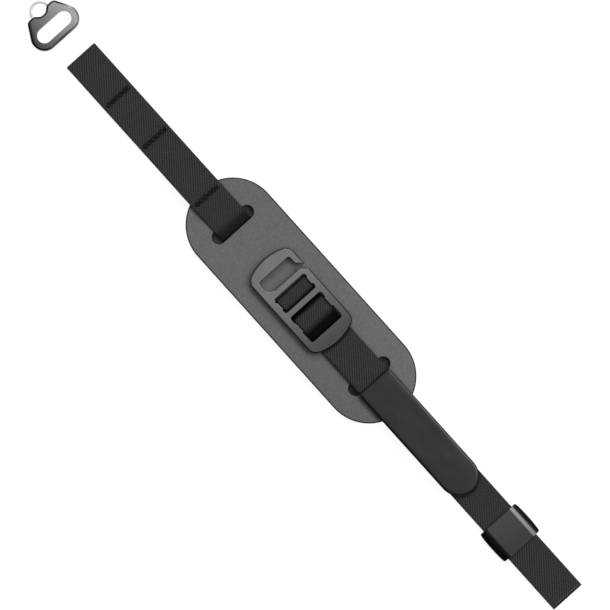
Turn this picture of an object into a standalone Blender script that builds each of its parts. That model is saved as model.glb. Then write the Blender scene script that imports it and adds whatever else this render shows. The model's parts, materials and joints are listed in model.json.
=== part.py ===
"""Camera hand strap, laid out flat, with its lug connector beside it.

The strap runs along X and lies on the plane z = 0. The origin is the centre of the pad's
underside, and Y runs across the strap. A pad of three bonded layers carries one long
webbing strap, which passes through it from slot to slot. A second, shorter webbing loop
leaves the right-hand slot, winds through the hook buckle and ends in the pull tab.
"""

import math

import bmesh
import bpy
from mathutils import Matrix, Vector

MM = 0.001

# Fits that several pieces share
LAYER_GAP = 0.15 * MM
BOND_GAP = 0.10 * MM
ARC_TOLERANCE = 0.03 * MM
OVERCUT = 1.0 * MM

# Webbing
WEBBING_WIDTH = 20.0 * MM
WEBBING_THICKNESS = 1.1 * MM

# Pad: lining below, foam core, top panel
PAD_LENGTH = 162.6 * MM
PAD_WIDTH = 51.6 * MM
LINING_THICKNESS = 1.2 * MM
PANEL_THICKNESS = 1.3 * MM
PANEL_EDGE_RADIUS = 0.9 * MM
LINING_EDGE_RADIUS = 0.6 * MM
SLOT_WIDTH = 7.8 * MM
SLOT_SIDE_ROOM = 4.15 * MM
CHANNEL_SIDE_ROOM = 0.6 * MM

# Long strap: where it lifts off the pad, touches down, turns back and ends
LEFT_END = 180.2 * MM
RIGHT_END = 217.7 * MM
PAD_OVERHANG = 3.0 * MM
LEFT_FALL = 33.0 * MM
RIGHT_FALL = 44.0 * MM
LEFT_TAIL_REACH = 7.3 * MM
RIGHT_TAIL_REACH = 14.0 * MM
TAIL_STEP = 8.0 * MM
SLOT_ENTRY = 0.6 * MM
SLOT_RUN = 9.4 * MM
EXIT_DELAY = 0.7 * MM

# Bar tacks: rows of thread across the webbing
TACK_LENGTH = 2.6 * MM
TACK_SIDE_MARGIN = 1.6 * MM
TACK_THICKNESS = 0.4 * MM
TACK_GAP = 0.06 * MM
TACK_EDGE_RADIUS = 0.15 * MM
FIRST_TACK_FROM_END = 30.7 * MM
SECOND_TACK_FROM_RISE = 2.0 * MM
TACK_TO_TAIL_END = 2.5 * MM

# Hook buckle
BUCKLE_END_RADIUS = 30.1 * MM
BUCKLE_HALF_WIDTH = 15.0 * MM
BUCKLE_CORNER_RADIUS = 6.0 * MM
BUCKLE_EDGE_CHAMFER = 0.7 * MM
OPENING_HALF_LENGTH = 11.1 * MM
OPENING_CORNER_RADIUS = 1.3 * MM
WEBBING_SIDE_CLEARANCE = 0.35 * MM
BAR_CLEARANCE = 0.25 * MM
LOW_BAR_THICKNESS = 1.0 * MM
LOW_BAR_LIFT = 0.1 * MM
LOW_BAR_ROOT = 1.2 * MM
FRAME_STANDS_PROUD = 0.5 * MM
HOOK_INNER_X = -22.3 * MM
HOOK_BAR_LEFT = -13.4 * MM
HOOK_BAR_RIGHT = -10.0 * MM
FRONT_LOW_BAR = (-7.2 * MM, -3.1 * MM)
MIDDLE_BAR = (-0.1 * MM, 3.2 * MM)
REAR_LOW_BAR = (7.4 * MM, 13.2 * MM)
END_BAR_LEFT = 21.2 * MM
HOOK_TIP_X = -13.6 * MM
HOOK_ROOT_X = -9.4 * MM
HOOK_THROAT_X = -17.4 * MM
HOOK_HEEL_RADIUS = 5.3 * MM
HOOK_TIP_RADIUS = 0.4 * MM
BUMP_SLOPE = 0.5 * MM
BUMP_CORNER_RADIUS = 0.3 * MM

# Short webbing loop
LOOP_TAIL_REACH = 24.0 * MM
TAB_SOCKET_DEPTH = 16.0 * MM

# Pull tab
TAB_START_X = 59.3 * MM
TAB_LENGTH = 80.3 * MM
TAB_WIDTH = 21.6 * MM
TAB_WALL = 1.15 * MM
TAB_TOP_EDGE_RADIUS = 0.8 * MM
TAB_BOTTOM_EDGE_RADIUS = 0.3 * MM
TAB_CORNER_RADIUS = 0.4 * MM
TAB_SOCKET_SIDE_ROOM = 0.25 * MM
TAB_SLICES = 26

# Keeper that slides on the doubled strap
KEEPER_X = 170.3 * MM
KEEPER_LENGTH = 19.8 * MM
KEEPER_HALF_WIDTH = 13.3 * MM
KEEPER_SIDE_BOW = 0.6 * MM
KEEPER_FLOOR = 1.2 * MM
KEEPER_ROOF = 1.45 * MM
KEEPER_CLEARANCE = 0.3 * MM
KEEPER_FLAT_HALF = 8.3 * MM
KEEPER_FACET_HALF = 11.2 * MM
KEEPER_FACET_DROP = 0.8 * MM
KEEPER_SIDE_TOP_DROP = 2.5 * MM
KEEPER_CORNER_RADIUS = 0.8 * MM
KEEPER_EDGE_RADIUS = 1.0 * MM

# Lug connector, which lies off the strap's left end, and its split ring
CONNECTOR_DISTANCE = 12.7 * MM
CONNECTOR_Y = -0.3 * MM
CONNECTOR_LENGTH = 19.5 * MM
CONNECTOR_HALF_WIDTH = 15.2 * MM
CONNECTOR_SHOULDER_FROM_RIGHT = 9.5 * MM
CONNECTOR_LOBE_HALF_WIDTH = 9.4 * MM
CONNECTOR_CORNER_RADIUS = 7.4 * MM
CONNECTOR_SHOULDER_RADIUS = 6.0 * MM
CONNECTOR_LOBE_RADIUS = 3.0 * MM
CONNECTOR_NOTCH_DEPTH = 2.7 * MM
CONNECTOR_NOTCH_MOUTH = 4.4 * MM
CONNECTOR_NOTCH_FLOOR = 1.6 * MM
CONNECTOR_NOTCH_RADIUS = 1.5 * MM
CONNECTOR_SLOT_FROM_RIGHT = 8.1 * MM
CONNECTOR_SLOT_WIDTH = 8.4 * MM
CONNECTOR_SLOT_HALF_LENGTH = 11.25 * MM
CONNECTOR_ROOF = 2.1 * MM
CONNECTOR_CROWN_RADIUS = 80.0 * MM
CONNECTOR_CROWN_SLICES = 20
CONNECTOR_EDGE_CHAMFER = 0.5 * MM
COVER_THICKNESS = 0.7 * MM
COVER_INSET = 0.5 * MM
RING_OUTER_RADIUS = 6.1 * MM
RING_WIRE_WIDTH = 1.4 * MM
RING_WIRE_HEIGHT = 0.45 * MM
RING_TURN_GAP = 0.06 * MM
RING_TURNS = 1.94
RING_START_ANGLE = math.radians(205)
RING_CLEARANCE = 0.15 * MM
RING_FROM_LEFT = 0.2 * MM
RING_STEPS = 76

# Levels of the pad's layers, from the plane that the strap lies on
LAYER_PITCH = WEBBING_THICKNESS + LAYER_GAP
HALF_WEBBING = WEBBING_THICKNESS / 2
CORE_BOTTOM = LINING_THICKNESS + BOND_GAP
CORE_TOP = CORE_BOTTOM + 2 * LAYER_PITCH + LAYER_GAP
PANEL_BOTTOM = CORE_TOP + BOND_GAP
PAD_TOP = PANEL_BOTTOM + PANEL_THICKNESS
SLOT_X = (PAD_LENGTH - PAD_WIDTH) / 2
SLOT_HALF_LENGTH = WEBBING_WIDTH / 2 + SLOT_SIDE_ROOM
SLOT_INNER_X = SLOT_X - SLOT_WIDTH / 2
SLOT_OUTER_X = SLOT_X + SLOT_WIDTH / 2

# Levels of the webbing's centre line
IN_CHANNEL = CORE_BOTTOM + LAYER_GAP + HALF_WEBBING
ON_PAD = PAD_TOP + LAYER_GAP + HALF_WEBBING
ON_TABLE = HALF_WEBBING
IN_KEEPER = KEEPER_FLOOR + KEEPER_CLEARANCE + HALF_WEBBING

# Levels of the buckle, which stands on the lower layer of the short loop
FRAME_BOTTOM = ON_PAD + HALF_WEBBING + BAR_CLEARANCE
LOW_BAR_BOTTOM = FRAME_BOTTOM + LOW_BAR_LIFT
LOW_BAR_TOP = FRAME_BOTTOM + LOW_BAR_THICKNESS
OVER_LOW_BAR = LOW_BAR_TOP + BAR_CLEARANCE + HALF_WEBBING
UNDER_HIGH_BAR = ON_PAD + LAYER_PITCH
HIGH_BAR_BOTTOM = UNDER_HIGH_BAR + HALF_WEBBING + BAR_CLEARANCE
FRAME_TOP = OVER_LOW_BAR + HALF_WEBBING + FRAME_STANDS_PROUD

# Stretches of the strap that lie off the pad
PAD_EDGE = PAD_LENGTH / 2
LEFT_LIFT_X = -(PAD_EDGE + PAD_OVERHANG)
LEFT_TOUCH_X = LEFT_LIFT_X - LEFT_FALL
RIGHT_LIFT_X = PAD_EDGE + PAD_OVERHANG
RIGHT_TOUCH_X = RIGHT_LIFT_X + RIGHT_FALL
LEFT_TAIL_X = -(PAD_EDGE - LEFT_TAIL_REACH)
RIGHT_TAIL_X = PAD_EDGE + RIGHT_TAIL_REACH
FIRST_TACK_X = -LEFT_END + FIRST_TACK_FROM_END
SECOND_TACK_X = LEFT_TOUCH_X - SECOND_TACK_FROM_RISE

# Inside of the lug connector
RING_HEIGHT = RING_WIRE_HEIGHT + RING_TURNS * (RING_WIRE_HEIGHT + RING_TURN_GAP)
CONNECTOR_BOTTOM = COVER_THICKNESS + BOND_GAP
RING_BOTTOM = CONNECTOR_BOTTOM + RING_CLEARANCE
GROOVE_TOP = RING_BOTTOM + RING_HEIGHT + RING_CLEARANCE
CONNECTOR_TOP = GROOVE_TOP + CONNECTOR_ROOF
CONNECTOR_RIGHT_X = -(LEFT_END + CONNECTOR_DISTANCE)
CONNECTOR_LEFT_X = CONNECTOR_RIGHT_X - CONNECTOR_LENGTH
CONNECTOR_SHOULDER_X = CONNECTOR_RIGHT_X - CONNECTOR_SHOULDER_FROM_RIGHT
CONNECTOR_SLOT_X = CONNECTOR_RIGHT_X - CONNECTOR_SLOT_FROM_RIGHT
RING_X = CONNECTOR_LEFT_X + RING_FROM_LEFT

# Colours, as the photograph shows them
GREY_PANEL = (0.125, 0.125, 0.127)
BLACK_WEBBING = (0.034, 0.034, 0.035)
BLACK_THREAD = (0.008, 0.008, 0.008)
DARK_LINING = (0.045, 0.045, 0.046)
GREY_FOAM = (0.03, 0.03, 0.031)
GREY_METAL = (0.16, 0.16, 0.162)
PALE_METAL = (0.32, 0.32, 0.325)
BRIGHT_STEEL = (0.75, 0.75, 0.76)
BLACK_RUBBER = (0.036, 0.036, 0.037)
BLACK_PLASTIC = (0.028, 0.028, 0.029)


def clear_scene():
    for obj in list(bpy.data.objects):
        bpy.data.objects.remove(obj, do_unlink=True)


def make_collection(name):
    collection = bpy.data.collections.new(name)
    bpy.context.scene.collection.children.link(collection)
    return collection


def make_material(name, colour, roughness, metallic=0.0):
    material = bpy.data.materials.new(name)
    material.use_nodes = True
    shader = material.node_tree.nodes["Principled BSDF"]
    shader.inputs["Base Color"].default_value = (*colour, 1.0)
    shader.inputs["Roughness"].default_value = roughness
    shader.inputs["Metallic"].default_value = metallic
    return material


clear_scene()
PARTS = make_collection("camera_hand_strap")
CUTTERS = make_collection("cutters")


# Outlines

def arc(centre, radius, start, end):
    """Points from angle start to angle end, close enough together for ARC_TOLERANCE."""
    sag = min(ARC_TOLERANCE / radius, 0.5)
    count = max(2, math.ceil(abs(end - start) / (2 * math.acos(1 - sag))))
    angles = [start + (end - start) * i / count for i in range(count + 1)]
    return [(centre[0] + radius * math.cos(a), centre[1] + radius * math.sin(a)) for a in angles]


def rounded(corners, closed=True):
    """An outline through corners (x, y, radius), each rounded by its own radius."""
    points = []
    count = len(corners)
    for i, (x, y, radius) in enumerate(corners):
        here = Vector((x, y))
        if radius == 0 or (not closed and i in (0, count - 1)):
            points.append((x, y))
            continue
        before = (Vector(corners[i - 1][:2]) - here).normalized()
        after = (Vector(corners[(i + 1) % count][:2]) - here).normalized()
        half = before.angle(after) / 2
        centre = here + (before + after).normalized() * radius / math.sin(half)
        reach = radius / math.tan(half)
        first = here + before * reach - centre
        last = here + after * reach - centre
        start = math.atan2(first.y, first.x)
        turn = (math.atan2(last.y, last.x) - start + math.pi) % math.tau - math.pi
        points += arc(centre, radius, start, start + turn)
    return points


def mirrored(corners):
    """Corners (x, y, radius) for y above 0, then their mirror images in reverse order."""
    return corners + [(x, -y, radius) for x, y, radius in reversed(corners)]


def stadium(centre_x, half_x, half_y):
    """A rectangle whose shorter sides are half circles."""
    radius = min(half_x, half_y)
    right, left = centre_x + half_x, centre_x - half_x
    corners = [(right, half_y, radius), (left, half_y, radius), (left, -half_y, radius), (right, -half_y, radius)]
    return rounded(corners)


# Solids from outlines

def link(obj, material, collection=None):
    (collection or PARTS).objects.link(obj)
    if material:
        obj.data.materials.clear()
        obj.data.materials.append(material)
    return obj


def as_mesh(obj):
    """A new mesh from the object as its modifiers and its curve settings make it."""
    bpy.context.view_layer.update()
    graph = bpy.context.evaluated_depsgraph_get()
    return bpy.data.meshes.new_from_object(obj.evaluated_get(graph))


def tidy_plate(mesh, whole_faces):
    """Closes a plate made from a curve. Without holes, each flat face becomes one polygon."""
    bm = bmesh.new()
    bm.from_mesh(mesh)
    bmesh.ops.remove_doubles(bm, verts=bm.verts, dist=0.001 * MM)
    if whole_faces:
        flat = [edge for edge in bm.edges if edge.calc_face_angle(1) < math.radians(0.1)]
        bmesh.ops.dissolve_edges(bm, edges=flat)
    bmesh.ops.recalc_face_normals(bm, faces=bm.faces)
    bm.to_mesh(mesh)
    bm.free()


def extruded(name, outlines, bottom, top, material, collection=None):
    """A flat plate between two levels. The first outline is its rim and the others are holes."""
    curve = bpy.data.curves.new(name + "_outline", "CURVE")
    curve.dimensions = "2D"
    curve.fill_mode = "BOTH"
    curve.extrude = (top - bottom) / 2
    for outline in outlines:
        spline = curve.splines.new("POLY")
        spline.points.add(len(outline) - 1)
        for point, (x, y) in zip(spline.points, outline):
            point.co = (x, y, 0, 1)
        spline.use_cyclic_u = True
    flat = bpy.data.objects.new(name + "_curve", curve)
    flat.location.z = (top + bottom) / 2
    CUTTERS.objects.link(flat)
    mesh = as_mesh(flat)
    mesh.transform(flat.matrix_world)
    mesh.name = name
    bpy.data.objects.remove(flat)
    tidy_plate(mesh, len(outlines) == 1)
    return link(bpy.data.objects.new(name, mesh), material, collection)


def bevel_level(obj, level, radius, segments=3):
    """Rounds every edge of the object that lies at this level."""
    bm = bmesh.new()
    bm.from_mesh(obj.data)
    near = 0.001 * MM
    edges = [
        edge
        for edge in bm.edges
        if all(abs(v.co.z - level) < near for v in edge.verts) and edge.calc_face_angle(0) > math.radians(30)
    ]
    bmesh.ops.bevel(
        bm,
        geom=edges,
        offset=radius,
        segments=segments,
        profile=0.5,
        affect="EDGES",
        clamp_overlap=False,
    )
    bm.to_mesh(obj.data)
    bm.free()


def cutter(obj):
    obj.hide_render = True
    obj.display_type = "WIRE"
    return obj


def combine(obj, other, operation):
    modifier = obj.modifiers.new(operation.lower(), "BOOLEAN")
    modifier.operation = operation
    modifier.solver = "EXACT"
    modifier.object = cutter(other)
    return obj


def apply_modifiers(obj):
    mesh = as_mesh(obj)
    obj.modifiers.clear()
    old = obj.data
    mesh.name = obj.name
    obj.data = mesh
    bpy.data.meshes.remove(old)


def block(name, low, high, material=None, collection=None):
    """A box from its lowest corner to its highest."""
    bm = bmesh.new()
    bmesh.ops.create_cube(bm, size=1.0)
    size = Vector(high) - Vector(low)
    bmesh.ops.scale(bm, vec=size, verts=bm.verts)
    bmesh.ops.translate(bm, vec=(Vector(high) + Vector(low)) / 2, verts=bm.verts)
    mesh = bpy.data.meshes.new(name)
    bm.to_mesh(mesh)
    bm.free()
    return link(bpy.data.objects.new(name, mesh), material, collection)


def smooth(obj, degrees=35):
    obj.data.shade_smooth()
    obj.data.set_sharp_from_angle(angle=math.radians(degrees))


# Webbing routes, as points (x, z) of the centre line

def ease(start, end, count=10):
    """A smooth change of level that leaves both ends running level."""
    points = []
    for i in range(count + 1):
        t = i / count
        rise = t * t * (3 - 2 * t)
        points.append((start[0] + (end[0] - start[0]) * t, start[1] + (end[1] - start[1]) * rise))
    return points


def turn_back(x, low, high, side, upwards=True, count=10):
    """A half turn between two levels. It bulges towards side, +1 or -1, from the line at x."""
    radius = (high - low) / 2
    middle = (high + low) / 2
    points = []
    for i in range(count + 1):
        angle = math.pi * i / count - math.pi / 2
        points.append((x + side * radius * math.cos(angle), middle + radius * math.sin(angle)))
    return points if upwards else points[::-1]


def without_repeats(points):
    kept = [points[0]]
    for point in points[1:]:
        if math.dist(point, kept[-1]) > 0.01 * MM:
            kept.append(point)
    return kept


def webbing(name, route, material):
    """A band of webbing whose centre line follows the route."""
    bm = bmesh.new()
    half = WEBBING_WIDTH / 2
    chain = [bm.verts.new((x, -half, z)) for x, z in without_repeats(route)]
    edges = [bm.edges.new(pair) for pair in zip(chain, chain[1:])]
    made = bmesh.ops.extrude_edge_only(bm, edges=edges)
    moved = [item for item in made["geom"] if isinstance(item, bmesh.types.BMVert)]
    bmesh.ops.translate(bm, vec=(0, WEBBING_WIDTH, 0), verts=moved)
    mesh = bpy.data.meshes.new(name)
    bm.to_mesh(mesh)
    bm.free()
    band = link(bpy.data.objects.new(name, mesh), material)
    solidify = band.modifiers.new("thickness", "SOLIDIFY")
    solidify.thickness = WEBBING_THICKNESS
    solidify.offset = 0
    solidify.use_even_offset = True
    smooth(band)
    return band


def left_fold_route():
    """The left tail under the strap, the fold at the strap's end and the run back to the pad."""
    fold = LAYER_PITCH / 2
    fold_x = -LEFT_END + HALF_WEBBING + fold
    route = [(LEFT_TAIL_X, ON_PAD)]
    route += ease((LEFT_LIFT_X, ON_PAD), (LEFT_TOUCH_X, ON_TABLE))
    route += turn_back(fold_x, ON_TABLE, ON_TABLE + LAYER_PITCH, -1)
    route += ease((LEFT_TOUCH_X, ON_TABLE + LAYER_PITCH), (LEFT_LIFT_X, ON_PAD + LAYER_PITCH))
    step_x = LEFT_TAIL_X + LAYER_PITCH
    route += ease((step_x, ON_PAD + LAYER_PITCH), (step_x + TAIL_STEP, ON_PAD))
    return route


def pad_route():
    """Down through the left slot, along the channel and up through the right slot."""
    down_x = -(SLOT_OUTER_X + SLOT_ENTRY)
    up_x = SLOT_OUTER_X + SLOT_ENTRY
    route = ease((down_x, ON_PAD), (down_x + SLOT_RUN, IN_CHANNEL))
    route += ease((up_x - SLOT_RUN + EXIT_DELAY, IN_CHANNEL), (up_x, ON_PAD))
    return route


def right_fold_route():
    """Off the pad to the strap's right end, and the tail that returns under it."""
    fold = LAYER_PITCH / 2
    fold_x = RIGHT_END - HALF_WEBBING - fold
    upper = IN_KEEPER + LAYER_PITCH
    route = ease((RIGHT_LIFT_X, ON_PAD), (RIGHT_TOUCH_X, upper))
    route += turn_back(fold_x, IN_KEEPER, upper, 1, upwards=False)
    tail = ease((RIGHT_TOUCH_X, IN_KEEPER), (RIGHT_LIFT_X, ON_PAD - LAYER_PITCH))
    route += [point for point in tail if point[0] > RIGHT_TAIL_X]
    return route


def loop_route():
    """The short loop: sewn in below the panel, round its edge, through the buckle and into the tab."""
    above = IN_CHANNEL + LAYER_PITCH
    front_left, front_right = FRONT_LOW_BAR
    rear_left, rear_right = REAR_LOW_BAR
    middle_left, middle_right = MIDDLE_BAR
    route = [(SLOT_INNER_X - LOOP_TAIL_REACH, above)]
    route += turn_back(SLOT_INNER_X, above, ON_PAD, 1)
    route += turn_back(front_left, ON_PAD, OVER_LOW_BAR, -1)
    route += ease((front_right, OVER_LOW_BAR), (middle_left, UNDER_HIGH_BAR))
    route += ease((middle_right, UNDER_HIGH_BAR), (rear_left, OVER_LOW_BAR))
    route += ease((rear_right, OVER_LOW_BAR), (END_BAR_LEFT, UNDER_HIGH_BAR))
    route += [(TAB_START_X + TAB_SOCKET_DEPTH, UNDER_HIGH_BAR)]
    return route


# Pad

def pad_outline(inset=0.0):
    return stadium(0, PAD_LENGTH / 2 - inset, PAD_WIDTH / 2 - inset)


def slot_outline(side):
    return stadium(side * SLOT_X, SLOT_WIDTH / 2, SLOT_HALF_LENGTH)


def slot_cutters(name, bottom, top):
    return [
        extruded(f"{name}_{word}_slot", [slot_outline(side)], bottom, top, None, CUTTERS)
        for side, word in ((-1, "left"), (1, "right"))
    ]


def make_pad():
    panel_material = make_material("pad_panel", GREY_PANEL, 0.75)
    core_material = make_material("pad_foam", GREY_FOAM, 0.95)
    lining_material = make_material("pad_lining", DARK_LINING, 0.85)

    lining = extruded("pad_back_lining", [pad_outline()], 0, LINING_THICKNESS, lining_material)
    bevel_level(lining, 0, LINING_EDGE_RADIUS)
    smooth(lining)

    core = extruded("pad_foam_core", [pad_outline()], CORE_BOTTOM, CORE_TOP, core_material)
    half = WEBBING_WIDTH / 2 + CHANNEL_SIDE_ROOM
    low = (-SLOT_X, -half, CORE_BOTTOM - OVERCUT)
    high = (SLOT_X, half, CORE_TOP + OVERCUT)
    combine(core, block("core_channel", low, high, None, CUTTERS), "DIFFERENCE")
    for hole in slot_cutters("core", CORE_BOTTOM - OVERCUT, CORE_TOP + OVERCUT):
        combine(core, hole, "DIFFERENCE")

    panel = extruded("pad_top_panel", [pad_outline()], PANEL_BOTTOM, PAD_TOP, panel_material)
    bevel_level(panel, PAD_TOP, PANEL_EDGE_RADIUS)
    for hole in slot_cutters("panel", PANEL_BOTTOM - OVERCUT, PAD_TOP + OVERCUT):
        combine(panel, hole, "DIFFERENCE")
    smooth(panel)


# Straps and their thread

def make_straps():
    material = make_material("webbing", BLACK_WEBBING, 0.85)
    webbing("long_strap", left_fold_route() + pad_route() + right_fold_route(), material)
    webbing("buckle_loop_strap", loop_route(), material)


def make_tack(name, x, level, material):
    """A row of thread on the webbing, centred at x, with its underside at this level."""
    half_y = WEBBING_WIDTH / 2 - TACK_SIDE_MARGIN
    low = (x - TACK_LENGTH / 2, -half_y, level)
    high = (x + TACK_LENGTH / 2, half_y, level + TACK_THICKNESS)
    tack = block(name, low, high, material)
    bevel = tack.modifiers.new("edge", "BEVEL")
    bevel.width = TACK_EDGE_RADIUS
    bevel.segments = 2


def make_tacks():
    material = make_material("thread", BLACK_THREAD, 0.7)
    on_doubled = HALF_WEBBING + LAYER_PITCH + TACK_GAP
    make_tack("bar_tack_1", FIRST_TACK_X, ON_TABLE + on_doubled, material)
    make_tack("bar_tack_2", SECOND_TACK_X, ON_TABLE + on_doubled, material)
    make_tack("bar_tack_3", LEFT_TAIL_X - TACK_TO_TAIL_END, ON_PAD + on_doubled, material)


# Hook buckle

def lozenge_end(side):
    """One rounded end of the buckle, from its upper straight edge to its lower one."""
    centre_y = BUCKLE_HALF_WIDTH - BUCKLE_CORNER_RADIUS
    centre_x = math.sqrt((BUCKLE_END_RADIUS - BUCKLE_CORNER_RADIUS) ** 2 - centre_y**2)
    lean = math.atan2(centre_y, centre_x)
    points = arc((centre_x, centre_y), BUCKLE_CORNER_RADIUS, math.pi / 2, lean)
    points += arc((0, 0), BUCKLE_END_RADIUS, lean, -lean)[1:-1]
    points += arc((centre_x, -centre_y), BUCKLE_CORNER_RADIUS, -lean, -math.pi / 2)
    return [(side * x, y) for x, y in points]


def lozenge_outline():
    return lozenge_end(1) + lozenge_end(-1)[::-1]


def hook_outline():
    """The mouth of the hook: its throat opens through the upper straight edge."""
    edge = BUCKLE_HALF_WIDTH + OVERCUT
    lean = (HOOK_ROOT_X - HOOK_BAR_LEFT) / (BUCKLE_HALF_WIDTH - OPENING_HALF_LENGTH)
    reach = OVERCUT * lean
    return rounded(
        [
            (HOOK_ROOT_X + reach, edge, 0),
            (HOOK_BAR_LEFT, OPENING_HALF_LENGTH, OPENING_CORNER_RADIUS),
            (HOOK_BAR_LEFT, -OPENING_HALF_LENGTH, HOOK_HEEL_RADIUS),
            (HOOK_INNER_X, -OPENING_HALF_LENGTH, OPENING_CORNER_RADIUS),
            (HOOK_INNER_X, OPENING_HALF_LENGTH, OPENING_CORNER_RADIUS),
            (HOOK_THROAT_X, OPENING_HALF_LENGTH, OPENING_CORNER_RADIUS),
            (HOOK_TIP_X + reach, edge, 0),
        ]
    )


def strap_opening(left, right, bar):
    """An opening whose side walls step in to guide the webbing where the low bar meets them."""
    inner = WEBBING_WIDTH / 2 + WEBBING_SIDE_CLEARANCE
    outer = OPENING_HALF_LENGTH
    bar_left, bar_right = bar
    upper = [
        (right, outer, OPENING_CORNER_RADIUS),
        (bar_right + BUMP_SLOPE, outer, BUMP_CORNER_RADIUS),
        (bar_right, inner, BUMP_CORNER_RADIUS),
        (bar_left, inner, BUMP_CORNER_RADIUS),
        (bar_left - BUMP_SLOPE, outer, BUMP_CORNER_RADIUS),
        (left, outer, OPENING_CORNER_RADIUS),
    ]
    return rounded(mirrored(upper))


def low_bar(name, bar):
    half = WEBBING_WIDTH / 2 + WEBBING_SIDE_CLEARANCE + LOW_BAR_ROOT
    return block(name, (bar[0], -half, LOW_BAR_BOTTOM), (bar[1], half, LOW_BAR_TOP), None, CUTTERS)


def make_buckle():
    material = make_material("anodised_metal", GREY_METAL, 0.45, 0.6)
    buckle = extruded("hook_buckle", [lozenge_outline()], FRAME_BOTTOM, FRAME_TOP, material)
    bevel_level(buckle, FRAME_TOP, BUCKLE_EDGE_CHAMFER, 2)
    bevel_level(buckle, FRAME_BOTTOM, BUCKLE_EDGE_CHAMFER, 2)
    openings = (
        ("hook_mouth", hook_outline()),
        ("front_opening", strap_opening(HOOK_BAR_RIGHT, MIDDLE_BAR[0], FRONT_LOW_BAR)),
        ("rear_opening", strap_opening(MIDDLE_BAR[1], END_BAR_LEFT, REAR_LOW_BAR)),
    )
    for name, outline in openings:
        hole = extruded(name, [outline], FRAME_BOTTOM - OVERCUT, FRAME_TOP + OVERCUT, None, CUTTERS)
        combine(buckle, hole, "DIFFERENCE")
    half = WEBBING_WIDTH / 2 + WEBBING_SIDE_CLEARANCE
    low = (MIDDLE_BAR[0] - OVERCUT, -half, FRAME_BOTTOM - OVERCUT)
    high = (BUCKLE_END_RADIUS + OVERCUT, half, HIGH_BAR_BOTTOM)
    combine(buckle, block("strap_tunnel", low, high, None, CUTTERS), "DIFFERENCE")
    combine(buckle, low_bar("front_low_bar", FRONT_LOW_BAR), "UNION")
    combine(buckle, low_bar("rear_low_bar", REAR_LOW_BAR), "UNION")
    apply_modifiers(buckle)
    smooth(buckle)


# Pull tab

def tab_drop(x):
    """How far the tab's underside lies below its level on the pad: it follows the strap down."""
    t = (x - RIGHT_LIFT_X) / (RIGHT_TOUCH_X - RIGHT_LIFT_X)
    t = min(max(t, 0.0), 1.0)
    fall = ON_PAD - (IN_KEEPER + LAYER_PITCH)
    return fall * t * t * (3 - 2 * t)


def make_tab():
    material = make_material("soft_rubber", BLACK_RUBBER, 0.5)
    bottom = UNDER_HIGH_BAR - HALF_WEBBING
    socket_top = UNDER_HIGH_BAR + HALF_WEBBING + LAYER_GAP
    top = socket_top + TAB_WALL
    end_x = TAB_START_X + TAB_LENGTH
    half = TAB_WIDTH / 2
    corners = mirrored([(end_x, half, half * 0.999), (TAB_START_X, half, TAB_CORNER_RADIUS)])
    tab = extruded("pull_tab", [rounded(corners)], bottom, top, material)
    bevel_level(tab, top, TAB_TOP_EDGE_RADIUS)
    bevel_level(tab, bottom, TAB_BOTTOM_EDGE_RADIUS, 2)

    socket_half = WEBBING_WIDTH / 2 + TAB_SOCKET_SIDE_ROOM
    low = (TAB_START_X - OVERCUT, -socket_half, bottom - OVERCUT)
    high = (TAB_START_X + TAB_SOCKET_DEPTH + OVERCUT, socket_half, socket_top)
    combine(tab, block("tab_socket", low, high, None, CUTTERS), "DIFFERENCE")
    apply_modifiers(tab)

    bm = bmesh.new()
    bm.from_mesh(tab.data)
    for i in range(1, TAB_SLICES):
        x = RIGHT_LIFT_X + (end_x - RIGHT_LIFT_X) * i / TAB_SLICES
        geometry = list(bm.verts) + list(bm.edges) + list(bm.faces)
        bmesh.ops.bisect_plane(bm, geom=geometry, plane_co=(x, 0, 0), plane_no=(1, 0, 0))
    for vert in bm.verts:
        vert.co.z -= tab_drop(vert.co.x)
    bm.to_mesh(tab.data)
    bm.free()
    smooth(tab)


# Keeper

def keeper_section(top):
    """The keeper's outside, seen along the strap, as points (y, z)."""
    half = KEEPER_HALF_WIDTH
    edge = KEEPER_EDGE_RADIUS
    right = [
        (KEEPER_FLAT_HALF, top, edge),
        (KEEPER_FACET_HALF, top - KEEPER_FACET_DROP, edge),
        (half, top - KEEPER_SIDE_TOP_DROP, edge),
        (half - edge, 0, edge),
    ]
    return rounded([(-y, z, r) for y, z, r in right[::-1]] + right)


def keeper_plan():
    """The keeper from above: its sides bow outwards. It reaches from the keeper's middle."""
    half_x = KEEPER_LENGTH / 2
    bow = KEEPER_SIDE_BOW
    radius = (half_x**2 + bow**2) / (2 * bow)
    lean = math.asin(half_x / radius)
    centre = KEEPER_HALF_WIDTH - radius
    upper = arc((0, centre), radius, math.pi / 2 - lean, math.pi / 2 + lean)
    upper = [point for point in upper if abs(point[0]) < half_x - 2 * KEEPER_CORNER_RADIUS]
    corner_y = KEEPER_HALF_WIDTH - bow
    corner = KEEPER_CORNER_RADIUS
    right = [(half_x, -corner_y, corner), (half_x, corner_y, corner)]
    left = [(-half_x, corner_y, corner), (-half_x, -corner_y, corner)]
    along = [(x, y, 0) for x, y in upper]
    back = [(-x, -y, 0) for x, y in upper]
    return [(x + KEEPER_X, y) for x, y in rounded(right + along + left + back)]


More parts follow.
